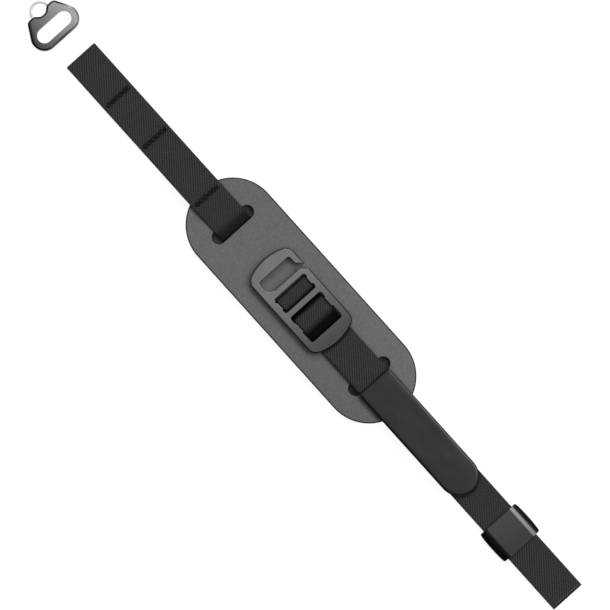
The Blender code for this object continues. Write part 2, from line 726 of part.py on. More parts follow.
def make_keeper():
    material = make_material("black_plastic", BLACK_PLASTIC, 0.3)
    opening_bottom = KEEPER_FLOOR
    opening_top = IN_KEEPER + LAYER_PITCH + HALF_WEBBING + KEEPER_CLEARANCE
    top = opening_top + KEEPER_ROOF
    half_x = KEEPER_LENGTH / 2 + OVERCUT
    keeper = extruded("strap_keeper", [keeper_section(top)], -half_x, half_x, material)
    upright = Matrix(((0, 0, 1, KEEPER_X), (1, 0, 0, 0), (0, 1, 0, 0), (0, 0, 0, 1)))
    keeper.data.transform(upright)
    plan = extruded("keeper_plan", [keeper_plan()], -OVERCUT, top + OVERCUT, None, CUTTERS)
    combine(keeper, plan, "INTERSECT")
    half_y = WEBBING_WIDTH / 2 + WEBBING_SIDE_CLEARANCE
    low = (KEEPER_X - half_x, -half_y, opening_bottom)
    high = (KEEPER_X + half_x, half_y, opening_top)
    combine(keeper, block("keeper_opening", low, high, None, CUTTERS), "DIFFERENCE")
    apply_modifiers(keeper)
    smooth(keeper)


# Lug connector

def connector_outline(inset=0.0):
    left = CONNECTOR_LEFT_X + inset
    floor = CONNECTOR_LEFT_X + CONNECTOR_NOTCH_DEPTH + inset
    half = CONNECTOR_HALF_WIDTH - inset
    upper = [
        (CONNECTOR_RIGHT_X - inset, half, CONNECTOR_CORNER_RADIUS - inset),
        (CONNECTOR_SHOULDER_X, half, CONNECTOR_SHOULDER_RADIUS),
        (left, CONNECTOR_LOBE_HALF_WIDTH - inset, CONNECTOR_LOBE_RADIUS),
        (left, CONNECTOR_NOTCH_MOUTH, CONNECTOR_NOTCH_RADIUS),
        (floor, CONNECTOR_NOTCH_FLOOR, CONNECTOR_NOTCH_RADIUS),
    ]
    return rounded(mirrored(upper))


def connector_slot(inset=0.0):
    return stadium(CONNECTOR_SLOT_X, CONNECTOR_SLOT_WIDTH / 2 + inset, CONNECTOR_SLOT_HALF_LENGTH + inset)


def crown_drop(y):
    """How far the connector's crowned face lies below its middle line."""
    return CONNECTOR_CROWN_RADIUS - math.sqrt(CONNECTOR_CROWN_RADIUS**2 - y * y)


def crown(obj, bottom, top):
    """Bends the face at the top level down towards both sides, and leaves the bottom flat."""
    bm = bmesh.new()
    bm.from_mesh(obj.data)
    for i in range(1, CONNECTOR_CROWN_SLICES):
        y = CONNECTOR_HALF_WIDTH * (2 * i / CONNECTOR_CROWN_SLICES - 1)
        geometry = list(bm.verts) + list(bm.edges) + list(bm.faces)
        bmesh.ops.bisect_plane(bm, geom=geometry, plane_co=(0, y, 0), plane_no=(0, 1, 0))
    for vert in bm.verts:
        vert.co.z -= crown_drop(vert.co.y) * max(0.0, (vert.co.z - bottom) / (top - bottom))
    bm.to_mesh(obj.data)
    bm.free()


def make_connector():
    body_material = make_material("connector_metal", PALE_METAL, 0.35, 0.8)
    bottom = CONNECTOR_BOTTOM
    body = extruded("connector_body", [connector_outline()], bottom, CONNECTOR_TOP, body_material)
    bevel_level(body, CONNECTOR_TOP, CONNECTOR_EDGE_CHAMFER, 2)
    crown(body, GROOVE_TOP, CONNECTOR_TOP)

    through = (bottom - OVERCUT, CONNECTOR_TOP + OVERCUT)
    slot = extruded("connector_slot", [connector_slot()], *through, None, CUTTERS)
    combine(body, slot, "DIFFERENCE")

    groove_outer = RING_OUTER_RADIUS + RING_CLEARANCE
    groove_inner = RING_OUTER_RADIUS - RING_WIRE_WIDTH - RING_CLEARANCE
    circles = [arc((RING_X, 0), radius, 0, math.tau)[:-1] for radius in (groove_outer, groove_inner)]
    groove = extruded("ring_groove", circles, bottom - OVERCUT, GROOVE_TOP, None, CUTTERS)
    combine(body, groove, "DIFFERENCE")
    apply_modifiers(body)
    body.location.y = CONNECTOR_Y
    smooth(body)

    cover = extruded(
        "connector_back_cover",
        [connector_outline(COVER_INSET), connector_slot(COVER_INSET)],
        0,
        COVER_THICKNESS,
        body_material,
    )
    cover.location.y = CONNECTOR_Y
    smooth(cover)


def make_split_ring():
    """A flat wire wound nearly twice round, so that its ends lie close to each other."""
    material = make_material("bright_steel", BRIGHT_STEEL, 0.25, 1.0)
    inner = RING_OUTER_RADIUS - RING_WIRE_WIDTH
    bm = bmesh.new()
    bmesh.ops.create_cube(bm, size=1.0)
    far = [face for face in bm.faces if face.normal.y < 0.5]
    bmesh.ops.delete(bm, geom=far, context="FACES")
    size = (RING_WIRE_WIDTH, 1, RING_WIRE_HEIGHT)
    bmesh.ops.scale(bm, vec=size, verts=bm.verts)
    middle = (inner + RING_WIRE_WIDTH / 2, -0.5, RING_BOTTOM + RING_WIRE_HEIGHT / 2)
    bmesh.ops.translate(bm, vec=middle, verts=bm.verts)
    start = Matrix.Rotation(RING_START_ANGLE, 3, "Z")
    bmesh.ops.rotate(bm, cent=(0, 0, 0), matrix=start, verts=bm.verts)
    climb = (RING_WIRE_HEIGHT + RING_TURN_GAP) / (RING_STEPS / RING_TURNS)
    section = list(bm.faces)
    bmesh.ops.spin(
        bm,
        geom=section + list(bm.edges) + list(bm.verts),
        cent=(0, 0, 0),
        axis=(0, 0, 1),
        dvec=(0, 0, climb),
        angle=math.tau * RING_TURNS,
        steps=RING_STEPS,
    )
    bmesh.ops.recalc_face_normals(bm, faces=bm.faces)
    mesh = bpy.data.meshes.new("split_ring")
    bm.to_mesh(mesh)
    bm.free()
    ring = link(bpy.data.objects.new("split_ring", mesh), material)
    ring.location = (RING_X, CONNECTOR_Y, 0)
    smooth(ring)


make_pad()
make_straps()
make_tacks()
make_buckle()
make_tab()
make_keeper()
make_connector()
make_split_ring()
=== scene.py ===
"""Camera hand strap laid flat: woven webbing, grained pad, metal and moulded pieces."""

import json
import math
import random
from functools import partial

import bmesh
import bpy
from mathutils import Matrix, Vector

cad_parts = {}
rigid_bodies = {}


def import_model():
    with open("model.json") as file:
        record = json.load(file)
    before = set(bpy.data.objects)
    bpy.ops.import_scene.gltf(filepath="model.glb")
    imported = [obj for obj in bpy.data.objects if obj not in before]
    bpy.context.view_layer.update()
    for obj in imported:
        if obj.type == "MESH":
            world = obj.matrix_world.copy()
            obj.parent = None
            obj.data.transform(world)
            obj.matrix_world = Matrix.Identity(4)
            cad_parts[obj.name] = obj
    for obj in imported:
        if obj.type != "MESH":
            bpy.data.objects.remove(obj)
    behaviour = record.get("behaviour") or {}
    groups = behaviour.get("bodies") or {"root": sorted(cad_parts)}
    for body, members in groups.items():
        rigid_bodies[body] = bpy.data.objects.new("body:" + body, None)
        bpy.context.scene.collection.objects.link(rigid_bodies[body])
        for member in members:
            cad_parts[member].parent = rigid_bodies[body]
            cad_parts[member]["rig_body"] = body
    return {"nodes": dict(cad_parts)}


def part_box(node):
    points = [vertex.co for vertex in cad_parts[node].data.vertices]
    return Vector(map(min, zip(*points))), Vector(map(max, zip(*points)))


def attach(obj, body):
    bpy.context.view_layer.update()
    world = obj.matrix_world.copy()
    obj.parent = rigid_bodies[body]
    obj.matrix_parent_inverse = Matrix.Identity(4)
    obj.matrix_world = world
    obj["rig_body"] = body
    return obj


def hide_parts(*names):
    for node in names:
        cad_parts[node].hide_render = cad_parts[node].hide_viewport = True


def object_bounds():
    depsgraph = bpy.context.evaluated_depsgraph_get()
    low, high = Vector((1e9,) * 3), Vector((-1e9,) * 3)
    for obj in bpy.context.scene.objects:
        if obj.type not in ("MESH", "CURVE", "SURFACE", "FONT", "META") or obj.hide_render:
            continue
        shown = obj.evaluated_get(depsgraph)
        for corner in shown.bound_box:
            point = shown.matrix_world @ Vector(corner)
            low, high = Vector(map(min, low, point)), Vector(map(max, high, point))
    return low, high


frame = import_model()
CAD_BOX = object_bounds()
NODES = frame["nodes"]

MM = 0.001

# Angle of the strap's X axis below the picture's horizontal
STRAP_ANGLE = math.radians(48.03)
CAMERA_TARGET = (3.29 * MM, -0.02 * MM)
CAMERA_HEIGHT = 1.6
CAMERA_LENS = 172.8

# Webbing. Its edges dip by the scallop between one pick, or cross thread, and the next
WEBBING_WIDTH = 20.5 * MM
WEBBING_THICKNESS = 1.1 * MM
PICK = 0.76 * MM
SCALLOP = 0.09 * MM

# Weave, in degrees and millimetres: ridges that lean one way, pits where two more sets of lines cross
RIDGE_LEAN = 51.3
CROSS_LEAN = -51.3
PIT_LEAN = 46.7
RIDGE_REPEAT = 1.278
PIT_REPEAT = 0.935

# Where the selvedges darken, in millimetres from the middle line
SELVEDGE = (9.2, 9.9)

# Where painted contact shade gives way, in millimetres of X, since the keeper slides beyond it
OPEN_STRETCH = (142.0, 148.0)

# Levels of the webbing's centre line
PITCH = 1.25 * MM
ON_TABLE = 0.55 * MM
ON_PAD = 6.05 * MM
IN_CHANNEL = 2.0 * MM
IN_KEEPER = 2.05 * MM
OVER_LOW_BAR = 8.65 * MM
UNDER_HIGH_BAR = 7.3 * MM

# Places where the long strap leaves the pad, touches down, turns back and ends
LIFT_X = 84.3 * MM
LEFT_TOUCH_X = -117.3 * MM
RIGHT_TOUCH_X = 128.3 * MM
LEFT_FOLD_X = -179.025 * MM
RIGHT_FOLD_X = 216.525 * MM
LEFT_TAIL_X = -74.0 * MM
LEFT_TAIL_STEP = (-72.75 * MM, -64.75 * MM)
RIGHT_TAIL_X = 95.3 * MM

# Places where the short loop starts, comes down off the rear bar and ends
LOOP_START_X = 27.6 * MM
REAR_CREST_X = 12.4 * MM
REAR_FOOT_X = 18.6 * MM
LOOP_END_X = 75.3 * MM

# Slots of the pad, and how far the strap reaches on each side of them as it goes down and comes up
SLOT_X = 55.5 * MM
SLOT_HALF_WIDTH = 3.9 * MM
SLOT_HALF_LENGTH = 14.15 * MM
CHANNEL_HALF_WIDTH = 10.6 * MM
DOWN_RUN = (-60.0 * MM, -50.6 * MM)
UP_RUN = (51.3 * MM, 60.0 * MM)

# Stretches of webbing, in millimetres of X, that get painted shade where the strap dips into the left slot
# and under the buckle's bars, or a painted highlight and painted shade at the right fold: start, full,
# end, gone, tone
LONG_PAINTED_LIGHT = (
    (-60.5, -54.8, -51.0, -50.5, 0.48),
    (215.7, 215.95, 216.3, 216.6, 1.8),
    (216.5, 216.75, 300.0, 301.0, 0.4),
)
LOOP_PAINTED_SHADE = ((1.0, 2.0, 4.8, 7.0, 0.12), (12.6, 17.2, 24.0, 26.0, 0.13))

# Bar tacks
THREAD_RADIUS = 0.23 * MM
TACK_SIDE_MARGIN = 0.12 * MM
TACK_END_MARGIN = 0.25 * MM

# Half width of the room that the buckle and the keeper leave for the webbing
STRAP_ROOM = 10.35 * MM

# Hook buckle
BUCKLE_END_RADIUS = 30.1 * MM
BUCKLE_HALF_WIDTH = 15.0 * MM
BUCKLE_CORNER_RADIUS = 6.0 * MM
HOOK_INNER_X = -22.3 * MM
HOOK_BAR_LEFT = -13.4 * MM
HOOK_THROAT_X = -17.4 * MM
HOOK_HEEL_RADIUS = 5.3 * MM
MOUTH_LEFT_X = -12.6 * MM
MOUTH_RIGHT_X = -8.4 * MM
MOUTH_Y = 16.0 * MM
MOUTH_RADIUS = 0.1 * MM
OPENING_HALF_LENGTH = 11.1 * MM
OPENING_CORNER_RADIUS = 1.3 * MM
FRONT_OPENING = (-10.0 * MM, -0.1 * MM)
REAR_OPENING = (3.2 * MM, 21.2 * MM)
FRONT_LOW_BAR = (-7.2 * MM, -3.1 * MM)
REAR_LOW_BAR = (7.4 * MM, 13.2 * MM)
LOW_BAR_BOTTOM = 6.95 * MM
LOW_BAR_TOP = 7.85 * MM
LOW_BAR_REACH = 11.55 * MM
BUMP_SLOPE = 0.5 * MM
BUMP_RADIUS = 0.3 * MM
STRAP_ROOF = 8.1 * MM

# Pull tab, a little wider and shorter than its solid, and the socket for the short webbing
TAB_TRIM = 0.3 * MM
TAB_BOTTOM = 6.75 * MM
TAB_CROWN = 0.22 * MM
TAB_DROP = 2.75 * MM
TAB_CORNER_RADIUS = 0.4 * MM
SOCKET_DEPTH = 16.0 * MM
SOCKET_HALF_WIDTH = 10.25 * MM
SOCKET_TOP = 8.0 * MM

# Keeper
KEEPER_HALF_LENGTH = 9.9 * MM
KEEPER_HALF_WIDTH = 13.4 * MM
KEEPER_BOW = 0.6 * MM
KEEPER_BOW_MARGIN = 1.2 * MM
KEEPER_CORNER = 0.8 * MM
KEEPER_FLOOR = 1.2 * MM
KEEPER_CEILING = 4.15 * MM

# Where the keeper's gloss grows weaker, in millimetres of X
KEEPER_FADE = (160.0, 184.0)

# Keeper's top, in millimetres from its middle line, with its slope in degrees there
KEEPER_SLOPES = (
    (7.9, 0), (8.4, 10), (9.4, 15), (10.3, 18), (10.9, 27), (11.3, 34), (13.0, 38), (13.25, 50), (13.4, 88)
)
KEEPER_SIDE_DROP = 0.4
KEEPER_UNDERSIDE = ((12.5, 0.7), (12.3, 0.3), (11.95, 0.08), (11.5, 0.0))

# Lug connector, whose middle line lies a little off the strap's
CONNECTOR_Y = -0.3 * MM
CONNECTOR_CORNER_RADIUS = 7.4 * MM
CONNECTOR_SHOULDER_RUN = 9.5 * MM
CONNECTOR_SHOULDER_RADIUS = 6.0 * MM
CONNECTOR_LOBE = (9.4 * MM, 3.0 * MM)
CONNECTOR_NOTCH_MOUTH = (4.6 * MM, 3.2 * MM)
CONNECTOR_NOTCH_FLOOR = (1.9 * MM, 4.3 * MM)
CONNECTOR_NOTCH_DEPTH = 2.7 * MM
CONNECTOR_CROWN_RADIUS = 80.0 * MM
CONNECTOR_SLOT_INSET = 8.0 * MM
CONNECTOR_SLOT = {"half_x": 4.3 * MM, "half_y": 11.25 * MM}
COVER_INSET = 0.5 * MM
GROOVE_RADII = (4.55 * MM, 6.25 * MM)
GROOVE_TOP = 2.54 * MM

# A point on the edge of the connector's painted shade band along its lower-left side, in millimetres, and
# the direction in which that painted shade fades
CONNECTOR_PAINTED_SHADE_EDGE = (-212.4, -9.7)
CONNECTOR_PAINTED_SHADE_FADE = (0.502, 0.865)

# Split ring: a flat wire, whose turns climb by its height and a small gap
RING_RADIUS = 5.4 * MM
RING_TURNS = 1.94
RING_CLIMB = 0.51 * MM
RING_START_ANGLE = math.radians(205)
WIRE_HALF_HEIGHT = 0.225 * MM
WIRE_CORNER_RADIUS = 0.2 * MM
WIRE_CORNERS = (0.5 * MM, 0.05 * MM)

# Colours
WEBBING_BLACK = (0.033, 0.033, 0.0335)
THREAD_BLACK = (0.0055, 0.0055, 0.0055)
PANEL_GREY = (0.14, 0.14, 0.142)
FOAM_GREY = (0.022, 0.022, 0.023)
LINING_GREY = (0.064, 0.064, 0.065)
BUCKLE_GREY = (0.158, 0.158, 0.160)
CONNECTOR_GREY = (0.195, 0.195, 0.197)
STEEL = (0.58, 0.58, 0.585)
RUBBER_BLACK = (0.006, 0.006, 0.0062)
PLASTIC_BLACK = (0.002, 0.002, 0.0021)

# Room and floor
FLOOR_SIZE = 12.0
FLOOR_DROP = 0.05 * MM
KEY_LAMP = {"place": (-0.99, 0.99, 1.4), "aim": (0, 0, 0), "size": (0.7, 0.7), "energy": 9.0}
STRIP_LAMP = {"place": (0.5, 1.03, 1.714), "aim": (0.5, 0, 0), "size": (0.8, 0.6), "energy": 7.5}

# Strength of the room's light along an axis (1 is Y, 2 is Z): axis, start, end, and the value at each
ACROSS = (1, -0.6, 0.75, 0.04, 1.25)
RISE = (2, 0.28, 0.75, 0.03, 1.0)
OVERHEAD = (2, 0.8, 0.9, 0.0, 1.0)
SKYLINE = (2, 0.1, 0.2, 1.0, 0.0)


# Materials

class Graph:
    """A material's node tree, written as expressions."""

    def __init__(self, name):
        self.material = bpy.data.materials.new(name)
        self.material.use_nodes = True
        self.tree = self.material.node_tree
        self.shader = self.tree.nodes["Principled BSDF"]
        self.count = 0

    def node(self, kind, **settings):
        made = self.tree.nodes.new(kind)
        made.location = (-260 * (1 + self.count // 6), -180 * (self.count % 6))
        self.count += 1
        for key, value in settings.items():
            setattr(made, key, value)
        return made

    def put(self, socket, value):
        if isinstance(value, bpy.types.NodeSocket):
            self.tree.links.new(value, socket)
        else:
            socket.default_value = value

    def math(self, operation, first, second=0.0, third=0.0, clamp=False):
        made = self.node("ShaderNodeMath", operation=operation, use_clamp=clamp)
        for socket, value in zip(made.inputs, (first, second, third)):
            self.put(socket, value)
        return made.outputs[0]

    def add(self, first, second):
        return self.math("ADD", first, second)

    def times(self, first, second):
        return self.math("MULTIPLY", first, second)

    def blend(self, factor, low, high):
        """low where factor is 0, high where it is 1."""
        made = self.node("ShaderNodeMapRange")
        self.put(made.inputs["Value"], factor)
        self.put(made.inputs["To Min"], low)
        self.put(made.inputs["To Max"], high)
        return made.outputs[0]

    def step(self, value, start, end):
        """0 below start, 1 above end, and smooth between."""
        made = self.node("ShaderNodeMapRange", interpolation_type="SMOOTHSTEP")
        self.put(made.inputs["Value"], value)
        made.inputs["From Min"].default_value = start
        made.inputs["From Max"].default_value = end
        return made.outputs[0]

    def wave(self, value, period, shift=0.0):
        """A cosine between 0 and 1."""
        turned = self.math("MULTIPLY_ADD", value, math.tau / period, shift)
        return self.math("MULTIPLY_ADD", self.math("COSINE", turned), 0.5, 0.5)

    def position(self):
        """The point on the object, in millimetres."""
        coordinates = self.node("ShaderNodeTexCoord")
        scaled = self.node("ShaderNodeVectorMath", operation="SCALE")
        self.tree.links.new(coordinates.outputs["Object"], scaled.inputs[0])
        scaled.inputs["Scale"].default_value = 1 / MM
        return scaled.outputs[0]

    def axes(self, vector):
        made = self.node("ShaderNodeSeparateXYZ")
        self.tree.links.new(vector, made.inputs[0])
        return made.outputs

    def vector(self, x, y, z=0.0):
        made = self.node("ShaderNodeCombineXYZ")
        for socket, value in zip(made.inputs, (x, y, z)):
            self.put(socket, value)
        return made.outputs[0]

    def noise(self, vector, size, detail=2.0, roughness=0.5):
        """Noise between 0 and 1 whose features are about size across."""
        made = self.node("ShaderNodeTexNoise")
        self.tree.links.new(vector, made.inputs["Vector"])
        made.inputs["Scale"].default_value = 1 / size
        made.inputs["Detail"].default_value = detail
        made.inputs["Roughness"].default_value = roughness
        return made.outputs["Fac"]

    def cells(self, vector, size):
        """Distance to the nearest of many scattered points, for pores and pebbles."""
        made = self.node("ShaderNodeTexVoronoi")
        self.tree.links.new(vector, made.inputs["Vector"])
        made.inputs["Scale"].default_value = 1 / size
        return made.outputs["Distance"]

    def contact(self, reach, power):
        """Ambient occlusion as a factor for painted contact shade: 1 in the open, and less where something
        stands within reach of the surface.
        """
        made = self.node("ShaderNodeAmbientOcclusion", samples=8)
        made.inputs["Distance"].default_value = reach
        return self.math("POWER", made.outputs["AO"], power)

    def walls(self, darkest, steep, level):
        """A factor for painted shade on steep faces: 1 where the surface lies level, falling to darkest
        where it is steep.
        """
        facing = self.axes(self.node("ShaderNodeNewGeometry").outputs["Normal"])[2]
        return self.blend(self.step(self.math("ABSOLUTE", facing), steep, level), darkest, 1.0)

    def shade(self, colour, factor):
        """The colour times a factor, as a colour socket."""
        made = self.node("ShaderNodeVectorMath", operation="SCALE")
        made.inputs[0].default_value = colour
        self.put(made.inputs["Scale"], factor)
        return made.outputs[0]

    def bump(self, height, distance, strength=1.0, normal=None):
        made = self.node("ShaderNodeBump")
        made.inputs["Strength"].default_value = strength
        made.inputs["Distance"].default_value = distance
        self.put(made.inputs["Height"], height)
        if normal is not None:
            self.tree.links.new(normal, made.inputs["Normal"])
        return made.outputs[0]

    def finish(self, colour, roughness, normal=None, **sockets):
        self.put(self.shader.inputs["Base Color"], colour)
        self.put(self.shader.inputs["Roughness"], roughness)
        if normal is not None:
            self.tree.links.new(normal, self.shader.inputs["Normal"])
        for name, value in sockets.items():
            self.shader.inputs[name.replace("_", " ")].default_value = value
        return self.material


def webbing_material(name, painted_stretches):
    """Diagonal twill: raised ridges with pits between them, in yarns that vary in tone.

    The last argument lists stretches that get painted shade or a painted highlight: (start, full, end,
    gone, factor).
    """
    g = Graph(name)
    uv = g.node("ShaderNodeUVMap", uv_map="webbing").outputs[0]
    along, across, _ = g.axes(uv)
    drift = g.math("MULTIPLY_ADD", g.noise(uv, 5.0, 1.0), 0.7, -0.35)
    turned = []
    for lean in (RIDGE_LEAN, CROSS_LEAN, PIT_LEAN):
        cos, sin = math.cos(math.radians(lean)), math.sin(math.radians(lean))
        turned.append(g.add(g.math("MULTIPLY_ADD", along, cos, drift), g.times(across, sin)))
    over, down, finer = turned
    ridge = g.wave(over, RIDGE_REPEAT)
    pit = g.times(g.wave(finer, PIT_REPEAT, 1.1), g.wave(down, RIDGE_REPEAT))
    pit = g.math("POWER", pit, 1.4)
    fibre = g.noise(g.vector(g.times(over, 3.0), down), 0.55, 2.0)
    patch = g.noise(uv, 3.2, 2.0)
    selvedge = g.step(g.math("ABSOLUTE", across), *SELVEDGE)
    place = g.axes(g.position())[0]
    # Painted contact shade where other parts stand close, left out where the keeper slides, times the
    # listed stretches of painted shade and highlight; it scales both the colour and the reflections.
    painted_light = g.contact(2.2 * MM, 2.0)
    painted_light = g.blend(g.step(place, *OPEN_STRETCH), painted_light, 1.0)
    for start, full, end, gone, factor in painted_stretches:
        inside = g.math("SUBTRACT", g.step(place, start, full), g.step(place, end, gone))
        painted_light = g.times(painted_light, g.blend(inside, 1.0, factor))
    g.put(g.shader.inputs["Specular IOR Level"], g.times(painted_light, 0.25))

    tone = g.math("MULTIPLY_ADD", ridge, 0.54, 0.77)
    tone = g.math("MULTIPLY_ADD", pit, -0.86, tone)
    tone = g.math("MAXIMUM", tone, 0.12)
    tone = g.times(tone, g.blend(fibre, 0.55, 1.45))
    tone = g.times(tone, g.blend(patch, 0.85, 1.15))
    tone = g.times(tone, g.blend(selvedge, 1.0, 0.8))
    tone = g.times(tone, painted_light)
    height = g.add(g.times(ridge, 0.6), g.math("MULTIPLY_ADD", pit, -0.8, g.times(fibre, 0.3)))
    normal = g.bump(height, 0.16 * MM, 0.8)
    shine = g.blend(ridge, 0.95, 0.7)
    return g.finish(g.shade(WEBBING_BLACK, tone), shine, normal, Sheen_Weight=0.02)


def thread_material():
    g = Graph("thread_twist")
    where = g.position()
    strands = g.noise(where, 0.25, 2.0)
    tone = g.blend(strands, 0.4, 1.8)
    normal = g.bump(strands, 0.1 * MM)
    return g.finish(g.shade(THREAD_BLACK, tone), 0.75, normal, Specular_IOR_Level=0.2)


def panel_material(half_x, half_y):
    """Fine-grained grey synthetic leather with dark edge paint round the outline, painted contact shade,
    and a painted light gradient across its right half.
    """
    g = Graph("pad_grain")
    where = g.position()
    x, y, _ = g.axes(where)
    fine = g.noise(where, 0.75, 3.0, 0.65)
    mottle = g.noise(where, 1.9, 2.0, 0.6)
    pebble = g.cells(where, 0.55)
    cloud = g.noise(where, 11.0, 2.0)
    tone = g.times(g.blend(fine, 0.6, 1.4), g.blend(cloud, 0.95, 1.05))
    tone = g.times(tone, g.blend(mottle, 0.8, 1.2))
    tone = g.times(tone, g.blend(pebble, 1.04, 0.93))
    beyond = g.math("MAXIMUM", g.math("SUBTRACT", g.math("ABSOLUTE", x), (half_x - half_y) / MM), 0.0)
    reach = g.math("SQRT", g.add(g.times(beyond, beyond), g.times(y, y)))
    reach = g.math("MULTIPLY_ADD", mottle, 0.25, reach)
    painted = g.step(reach, half_y / MM - 0.8, half_y / MM - 0.4)
    tone = g.times(tone, g.blend(painted, 1.0, 0.1))
    # Painted contact shade where other parts stand on the pad.
    tone = g.times(tone, g.contact(2.2 * MM, 0.6))
    # Painted light: the right half grows lighter towards +Y and darker towards -Y.
    lean = g.math("MULTIPLY_ADD", g.times(g.step(x, -20.0, 60.0), y), 0.0045, 1.02)
    tone = g.times(tone, lean)
    normal = g.bump(pebble, 0.06 * MM, 0.6, g.bump(fine, 0.12 * MM, 0.6))
    rough = g.blend(fine, 0.72, 0.9)
    return g.finish(g.shade(PANEL_GREY, tone), rough, normal, Specular_IOR_Level=0.3)


def foam_material():
    g = Graph("pad_foam_cells")
    where = g.position()
    cells = g.cells(where, 0.5)
    coarse = g.noise(where, 2.0, 2.0)
    tone = g.times(g.blend(cells, 0.5, 1.5), g.blend(coarse, 0.85, 1.15))
    normal = g.bump(cells, 0.25 * MM)
    return g.finish(g.shade(FOAM_GREY, tone), 0.95, normal, Specular_IOR_Level=0.2)


def lining_material():
    """A soft knitted cloth: small columns of loops along the pad."""
    g = Graph("pad_lining_knit")
    where = g.position()
    x, y, _ = g.axes(where)
    column = g.wave(y, 0.8)
    loops = g.wave(g.math("MULTIPLY_ADD", column, 0.25, x), 0.65)
    fuzz = g.noise(where, 0.3, 3.0)
    height = g.add(g.times(column, loops), g.times(fuzz, 0.5))
    tone = g.blend(height, 0.65, 1.25)
    normal = g.bump(height, 0.15 * MM, 0.8)
    return g.finish(
        g.shade(LINING_GREY, tone), 0.95, normal, Specular_IOR_Level=0.2, Sheen_Weight=0.1
    )


def buckle_material():
    """Bead-blasted grey anodising, satin, with a painted reflection that darkens towards the buckle's
    right end and painted shade on steep faces and near other parts.
    """
    g = Graph("anodised_blasted")
    where = g.position()
    x = g.axes(where)[0]
    blast = g.noise(where, 0.22, 2.0)
    cloud = g.noise(where, 7.0, 2.0)
    tone = g.times(g.blend(cloud, 0.93, 1.07), g.blend(blast, 0.95, 1.05))
    # Painted reflection: darker towards the buckle's right end.
    tone = g.times(tone, g.blend(g.math("MULTIPLY_ADD", x, 1 / 36, 0.25), 1.0, 0.42))
    # Painted shade on steep faces and where other parts stand close.
    tone = g.times(tone, g.times(g.walls(0.2, 0.64, 0.99), g.contact(2.0 * MM, 1.5)))
    normal = g.bump(blast, 0.012 * MM, 0.5)
    return g.finish(g.shade(BUCKLE_GREY, tone), g.blend(cloud, 0.30, 0.36), normal, Metallic=1.0)


def connector_material():
    """Pale satin metal, drawn out along Y, with painted light and shade: a rim painted dark where it faces
    +Y and lighter elsewhere, dark steep walls, and a painted shade band along the lower-left edge.
    """
    g = Graph("connector_satin")
    where = g.position()
    x, y, z = g.axes(where)
    grain = g.noise(g.vector(g.times(x, 6.0), y, z), 1.2, 3.0)
    cloud = g.noise(where, 5.0, 2.0)
    tone = g.times(g.blend(cloud, 0.92, 1.06), g.blend(grain, 0.95, 1.05))
    # Painted shade on steep walls.
    tone = g.times(tone, g.walls(0.2, 0.5, 0.84))
    # Painted reflection on the rim: much darker where it faces +Y, lighter where it faces elsewhere.
    facing = g.axes(g.node("ShaderNodeNewGeometry").outputs["Normal"])
    rim = g.step(facing[2], 0.97, 0.86)
    painted_dark_side = g.step(facing[1], 0.1, 0.3)
    tone = g.times(tone, g.blend(rim, 1.0, g.blend(painted_dark_side, 1.3, 0.16)))
    # Painted shade band, down to half, along the lower-left edge.
    away_x, away_y = (g.add(axis, -edge) for axis, edge in zip((x, y), CONNECTOR_PAINTED_SHADE_EDGE))
    inside = g.add(g.times(away_x, CONNECTOR_PAINTED_SHADE_FADE[0]), g.times(away_y, CONNECTOR_PAINTED_SHADE_FADE[1]))
    tone = g.times(tone, g.blend(g.step(inside, 1.3, 2.6), 0.5, 1.0))
    return g.finish(g.shade(CONNECTOR_GREY, tone), g.blend(grain, 0.2, 0.28), Metallic=1.0)


def steel_material():
    g = Graph("bright_steel_wire")
    where = g.position()
    grain = g.noise(where, 0.8, 3.0)
    # Painted shade on the wire's steep faces.
    tone = g.times(g.blend(grain, 0.92, 1.05), g.walls(0.3, 0.5, 0.95))
    return g.finish(g.shade(STEEL, tone), g.blend(grain, 0.16, 0.24), Metallic=1.0)


def rubber_material():
    """Satin moulded rubber: a fine spark-eroded skin with faint uneven gloss."""
    g = Graph("satin_rubber")
    where = g.position()
    skin = g.noise(where, 0.16, 2.0)
    cloud = g.noise(where, 9.0, 2.0)
    tone = g.times(g.blend(cloud, 0.9, 1.1), g.blend(skin, 0.93, 1.07))
    wave = g.noise(where, 14.0, 1.0)
    normal = g.bump(skin, 0.02 * MM, 0.5, g.bump(wave, 0.8 * MM, 0.6))
    gloss = g.blend(cloud, 0.24, 0.32)
    return g.finish(g.shade(RUBBER_BLACK, tone), gloss, normal, Specular_IOR_Level=0.38)


def plastic_material():
    """Dark moulded plastic, nearly polished."""
    g = Graph("polished_plastic")
    where = g.position()
    skin = g.noise(where, 0.2, 2.0)
    cloud = g.noise(where, 6.0, 2.0)
    tone = g.blend(cloud, 0.94, 1.06)
    level = g.blend(g.step(g.axes(where)[0], *KEEPER_FADE), 0.5, 0.36)
    g.put(g.shader.inputs["Specular IOR Level"], level)
    normal = g.bump(skin, 0.008 * MM, 0.4)
    return g.finish(g.shade(PLASTIC_BLACK, tone), g.blend(cloud, 0.16, 0.22), normal, IOR=1.62)


# Meshes

def new_object(name, mesh, material):
    obj = bpy.data.objects.new(name, mesh)
    bpy.context.scene.collection.objects.link(obj)
    obj.data.materials.append(material)
    return obj


def solid_mesh(name, verts, faces):
    """A mesh of these faces, all turned outwards."""
    mesh = bpy.data.meshes.new(name)
    mesh.from_pydata(verts, [], faces)
    bm = bmesh.new()
    bm.from_mesh(mesh)
    bmesh.ops.recalc_face_normals(bm, faces=bm.faces)
    bm.to_mesh(mesh)
    bm.free()
    return mesh


def band(a, b, size):
    """Faces between two closed rows of size points, which start at a and at b."""
    return [(a + j, a + (j + 1) % size, b + (j + 1) % size, b + j) for j in range(size)]


